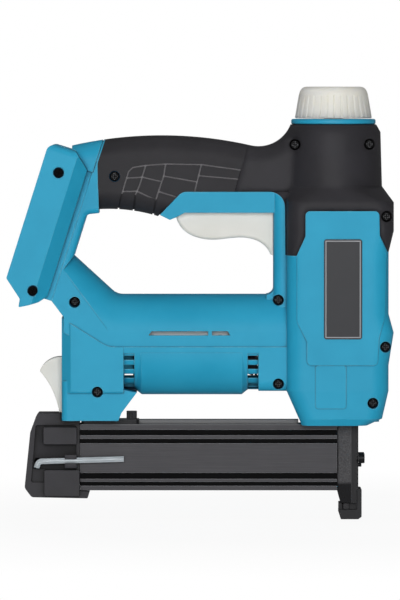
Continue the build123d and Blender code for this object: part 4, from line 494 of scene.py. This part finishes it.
def startPlate(alongX, alongY, height):
    # a flat piece between two limits each way, in edit mode with all of it selected, and its middle
    middle = (sum(alongX) / 2, sum(alongY) / 2, height)
    wide, deep = abs(alongX[1] - alongX[0]), abs(alongY[1] - alongY[0])
    bpy.ops.object.select_all(action="DESELECT")
    bpy.ops.mesh.primitive_plane_add(size=1, location=middle)
    editAll()
    bpy.ops.transform.resize(value=(wide, deep, 1), center_override=middle)
    return bpy.context.object, middle


def soften(obj, width):
    bpy.ops.object.mode_set(mode="OBJECT")
    edge = obj.modifiers.new("softEdge", "BEVEL")
    edge.width, edge.segments, edge.limit_method = width, 2, "ANGLE"
    bpy.ops.object.modifier_apply(modifier="softEdge")


def settle(obj, name, mat, body, angle=30):
    # outward faces, smooth shading, place in the mesh, then finish and body
    editAll()
    bpy.ops.mesh.remove_doubles(threshold=mergeSpan)
    bpy.ops.mesh.normals_make_consistent(inside=False)
    bpy.ops.object.mode_set(mode="OBJECT")
    bpy.ops.object.transform_apply(location=True, rotation=True, scale=True)
    bpy.ops.object.shade_smooth_by_angle(angle=radians(angle))
    obj.name = name
    obj.data.materials.clear()
    obj.data.materials.append(mat)
    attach(obj, body)


# power knob: a ring drawn up into a cone with a rounded crown, then fluted. Rings as height and radius
knobSpec = {"axis": -0.0125, "flutes": 32, "steps": 6, "cut": 0.0009, "cutLow": 0.2604, "cutTop": 0.2740,
            "cutMiddle": 0.265, "cutShare": 0.05, "rimHigh": 0.26015,
            "rings": ((0.2601, 0.0245), (0.2607, 0.0249), (0.2625, 0.02465), (0.2735, 0.02275), (0.2750, 0.0225),
                      (0.2771, 0.0219), (0.2787, 0.0211), (0.2798, 0.0200), (0.2804, 0.0187), (0.2806, 0.0170),
                      (0.2805, 0.0090))}


def makeKnob(spec):
    rings, axis = spec["rings"], spec["axis"]
    bpy.ops.object.select_all(action="DESELECT")
    bpy.ops.mesh.primitive_circle_add(vertices=spec["flutes"] * spec["steps"], radius=rings[0][1],
                                      fill_type="NOTHING", location=(axis, 0, rings[0][0]))
    knob = bpy.context.object
    editAll()
    for (lowZ, lowR), (highZ, highR) in zip(rings, rings[1:]):
        draw((0, 0, highZ - lowZ))
        bpy.ops.transform.resize(value=(highR / lowR, highR / lowR, 1), center_override=(axis, 0, highZ))
    bpy.ops.mesh.edge_face_add()   # crown
    pick(knob, lambda at: at.z < spec["rimHigh"])
    bpy.ops.mesh.edge_face_add()   # underside
    pitch = 2 * pi / spec["flutes"]

    def inFlute(at):
        turn = atan2(at.y, at.x - axis) / pitch
        return spec["cutLow"] < at.z < spec["cutTop"] and abs(turn - round(turn)) < spec["cutShare"]

    pick(knob, inFlute)
    share = 1 - spec["cut"] / rings[2][1]
    bpy.ops.transform.resize(value=(share, share, 1), center_override=(axis, 0, spec["cutMiddle"]))
    settle(knob, "flutedKnob", knobWhite, "knob")
    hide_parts("power_knob")


makeKnob(knobSpec)

# hex key: a hexagon drawn along its arm, turned down at the end and cut off short
keySpec = {"flats": 0.0036, "front": -0.14846, "side": -0.0149, "height": 0.0394, "arm": 0.0530, "drop": 0.00148,
           "bend": 0.0030, "turn": 72, "steps": 7, "leg": 0.0022, "soften": 0.00012, "angle": 24}


def makeKey(spec):
    turn, leg = radians(spec["turn"]), spec["leg"]
    bpy.ops.object.select_all(action="DESELECT")
    bpy.ops.mesh.primitive_circle_add(vertices=6, radius=spec["flats"] / 3 ** 0.5, fill_type="NGON",
                                      location=(spec["front"], spec["side"], spec["height"]),
                                      rotation=(0, radians(90), 0))
    key = bpy.context.object
    bpy.ops.object.transform_apply(location=True, rotation=True)
    editAll()
    draw((-spec["arm"], 0, -spec["drop"]))
    heart = (spec["front"] - spec["arm"], spec["side"], spec["height"] - spec["drop"] - spec["bend"])
    bpy.ops.mesh.spin(steps=spec["steps"], angle=turn, center=heart, axis=(0, 1, 0))
    draw((-leg * cos(turn), 0, -leg * sin(turn)))
    soften(key, spec["soften"])
    settle(key, "bentKey", brightSteel, "key", spec["angle"])
    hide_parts("hex_key")


makeKey(keySpec)

# key clip: two hooks in front of the clip's prongs, each with a lip over the key's edge. Heights as tip, neck, end
hookSpec = {"rear": -0.1868, "front": -0.1790, "face": -0.0179, "lip": -0.01705, "root": -0.0164,
            "soften": 0.0003, "slack": 0.0001, "high": (0.0395, 0.0404, 0.0424), "low": (0.0368, 0.0356, 0.0336)}


def makeHook(spec, name):
    tip, neck, end = spec[name]
    hook, _ = startPlate((spec["rear"], spec["front"]), (spec["face"], spec["lip"]), tip)
    draw((0, 0, neck - tip))
    draw((0, 0, end - neck))

    def atRoot(at):
        return at.y > spec["lip"] - spec["slack"] and abs(at.z - tip) > abs(neck - tip) - spec["slack"]

    pick(hook, atRoot)
    draw((0, spec["root"] - spec["lip"], 0))
    soften(hook, spec["soften"])
    settle(hook, "keyHook_" + name, capNylon, "magazine")


makeHook(hookSpec, "high")
makeHook(hookSpec, "low")

# guide lips: the staple guide goes on a little way below the front plate, inside the tip's slot
lipSpec = {"front": 0.0016, "rear": -0.0014, "inside": 0.0033, "outside": 0.0043, "top": 0.0107, "low": 0.0066,
           "taper": 0.0003}


def makeLip(spec, side):
    lip, _ = startPlate((spec["front"], spec["rear"]), (side * spec["inside"], side * spec["outside"]), spec["top"])
    draw((0, 0, spec["low"] + spec["taper"] - spec["top"]))
    bpy.ops.mesh.inset(thickness=spec["taper"])
    bpy.ops.transform.translate(value=(0, 0, -spec["taper"]))
    settle(lip, "guideLipRight" if side < 0 else "guideLipLeft", blackSteel, "tool")


makeLip(lipSpec, -1)
makeLip(lipSpec, 1)

# foot web: joins the tip's rear hook to the contact foot, a little lower than both
webSpec = {"rear": -0.00685, "front": -0.00605, "half": 0.0025, "low": 0.0062, "top": 0.0099, "round": 0.0008}


def makeWeb(spec):
    web, middle = startPlate((spec["rear"], spec["front"]), (-spec["half"], spec["half"]), spec["low"])
    draw((0, 0, spec["top"] - spec["round"] - spec["low"]))
    draw((0, 0, spec["round"]))
    bpy.ops.transform.resize(value=(1, 1 - spec["round"] / spec["half"], 1),
                             center_override=(middle[0], 0, spec["top"]))
    settle(web, "footWeb", blackSteel, "contact")


makeWeb(webSpec)

# dust lips: pleated rubber between nose and tip
dustSpec = {"rear": -0.00215, "front": 0.00245, "inside": 0.0049, "outside": 0.0064, "top": 0.01065,
            "low": 0.00625, "pleats": 4, "waist": 0.7, "keep": 0.1}


def makeDustLip(spec, side):
    lip, middle = startPlate((spec["rear"], spec["front"]), (side * spec["inside"], side * spec["outside"]),
                             spec["top"])
    for step in range(spec["pleats"]):
        draw((0, 0, (spec["low"] - spec["top"]) / spec["pleats"]))
        share = spec["waist"] if step % 2 == 0 else 1 / spec["waist"]
        bpy.ops.transform.resize(value=(1, share, 1), center_override=middle)
    settle(lip, "dustLipRight" if side < 0 else "dustLipLeft", tipRubber, "tool")
    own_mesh(lip)


makeDustLip(dustSpec, -1)
makeDustLip(dustSpec, 1)
print("knob, key, hooks, guide lips, foot web and dust lips modelled")

# springs, each a copy of its node on the tool's body: node, joint, height that stays put, share left. The main
# spring is pressed at both ends, so it is cut at the height that stays put into two parts
springSpec = {"live_main_spring": ("main_spring", "hammer_lift", 0.2205, 0.27, "below"),
              "live_main_spring_top": ("main_spring", "seat_travel", 0.2205, 0.70, "above"),
              "live_contact_spring": ("contact_spring", "contact_press", 0.0824, 0.60, "whole"),
              "live_latch_spring": ("latch_spring", "latch_lift", 0.0677, 0.76, "whole"),
              "live_trigger_spring": ("trigger_spring", "trigger_pull", 0.2315, 0.85, "whole")}
cutSpec = {"merge": 1e-6, "near": 1e-7}
coilAngle = 60


def makeSpring(name, node, joint, fixedZ, keep, part):
    coil = bpy.data.objects.new(name, nodes[node].data.copy())
    scene.collection.objects.link(coil)
    bpy.ops.object.select_all(action="DESELECT")
    coil.select_set(True)
    bpy.context.view_layer.objects.active = coil
    if part != "whole":
        editAll()
        bpy.ops.mesh.remove_doubles(threshold=cutSpec["merge"])
        bpy.ops.mesh.bisect(plane_co=(0, 0, fixedZ), plane_no=(0, 0, 1), use_fill=True, threshold=cutSpec["near"],
                            clear_inner=part == "above", clear_outer=part == "below")
        bpy.ops.object.mode_set(mode="OBJECT")
    settle(coil, name, toolSteel, "tool", coilAngle)
    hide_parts(node)
    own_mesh(coil)


for name, spec in springSpec.items():
    makeSpring(name, *spec)


# studio: soft frontal light, pale floor, white behind
lampAim = (-0.1, 0, 0.14)
lampSpec = {"frontSoftbox": {"at": (-0.14, -2.2, 0.42), "wide": 1.0, "tall": 0.8, "power": 33, "mirror": True},
            "backSoftbox": {"at": (0.0, 2.2, 0.42), "wide": 1.0, "tall": 0.8, "power": 32, "mirror": False},
            "topSoftbox": {"at": (-0.1, -0.25, 1.7), "wide": 1.6, "tall": 1.4, "power": 6, "mirror": True}}


def addLamp(name, spec):
    data = bpy.data.lights.new(name, "AREA")
    data.shape, data.size, data.size_y = "RECTANGLE", spec["wide"], spec["tall"]
    data.energy = spec["power"]
    lamp = bpy.data.objects.new(name, data)
    lamp.location = spec["at"]
    lamp.rotation_mode = "QUATERNION"
    lamp.rotation_quaternion = (Vector(lampAim) - Vector(spec["at"])).to_track_quat("-Z", "Y")
    lamp.visible_glossy = spec["mirror"]
    scene.collection.objects.link(lamp)


for name, spec in lampSpec.items():
    addLamp(name, spec)

# the backdrop is white to the camera and dim to the part, so it lights little
white = (1, 1, 1, 1)
skySpec = {"dim": 0.12, "full": 1.0, "mirror": 0.1}


def addSky(spec):
    world = bpy.data.worlds.new("studio")
    scene.world = world
    world.use_nodes = True
    sky = Wire(world.node_tree)
    seen = sky.node("ShaderNodeLightPath", out="Is Camera Ray")
    glossy = sky.node("ShaderNodeLightPath", out="Is Glossy Ray")
    through = sky.node("ShaderNodeLightPath", out="Is Transmission Ray")
    share = seen + glossy * spec["mirror"] + through
    back = world.node_tree.nodes["Background"]
    back.inputs["Color"].default_value = white
    feed(sky, back, Strength=share.span(0, 1, spec["dim"], spec["full"]))


addSky(skySpec)

# pale floor: it keeps the shadow near the part and fades to white further out
floorSpec = {"sides": 96, "radius": 3.0, "at": (-0.1, 0, 0), "tone": (0.9, 0.9, 0.9, 1), "rough": 0.9,
             "near": 0.22, "far": 0.5, "nearWhite": 0.92, "farWhite": 1.0}


def addFloor(spec):
    bpy.ops.object.select_all(action="DESELECT")
    bpy.ops.mesh.primitive_circle_add(vertices=spec["sides"], radius=spec["radius"], fill_type="NGON",
                                      location=spec["at"])
    floor = bpy.context.object
    floor.name = "paleFloor"
    bpy.ops.object.transform_apply(location=True)
    mat, w, shader = startFinish("floorPaper")
    shader.inputs["Base Color"].default_value = spec["tone"]
    shader.inputs["Roughness"].default_value = spec["rough"]
    glow = w.node("ShaderNodeEmission", None, {"Color": white, "Strength": 1.0})
    away = w.node("ShaderNodeVectorMath", {"operation": "LENGTH"}, {0: place(w)}, out="Value")
    seen = w.node("ShaderNodeLightPath", out="Is Camera Ray")
    part = seen * away.span(spec["near"], spec["far"], spec["nearWhite"], spec["farWhite"])
    both = w.node("ShaderNodeMixShader", None, {0: part, 1: Wire(w.tree, shader.outputs[0]), 2: glow})
    feed(w, w.tree.nodes["Material Output"], Surface=both)
    floor.data.materials.append(mat)


addFloor(floorSpec)
print("studio set")
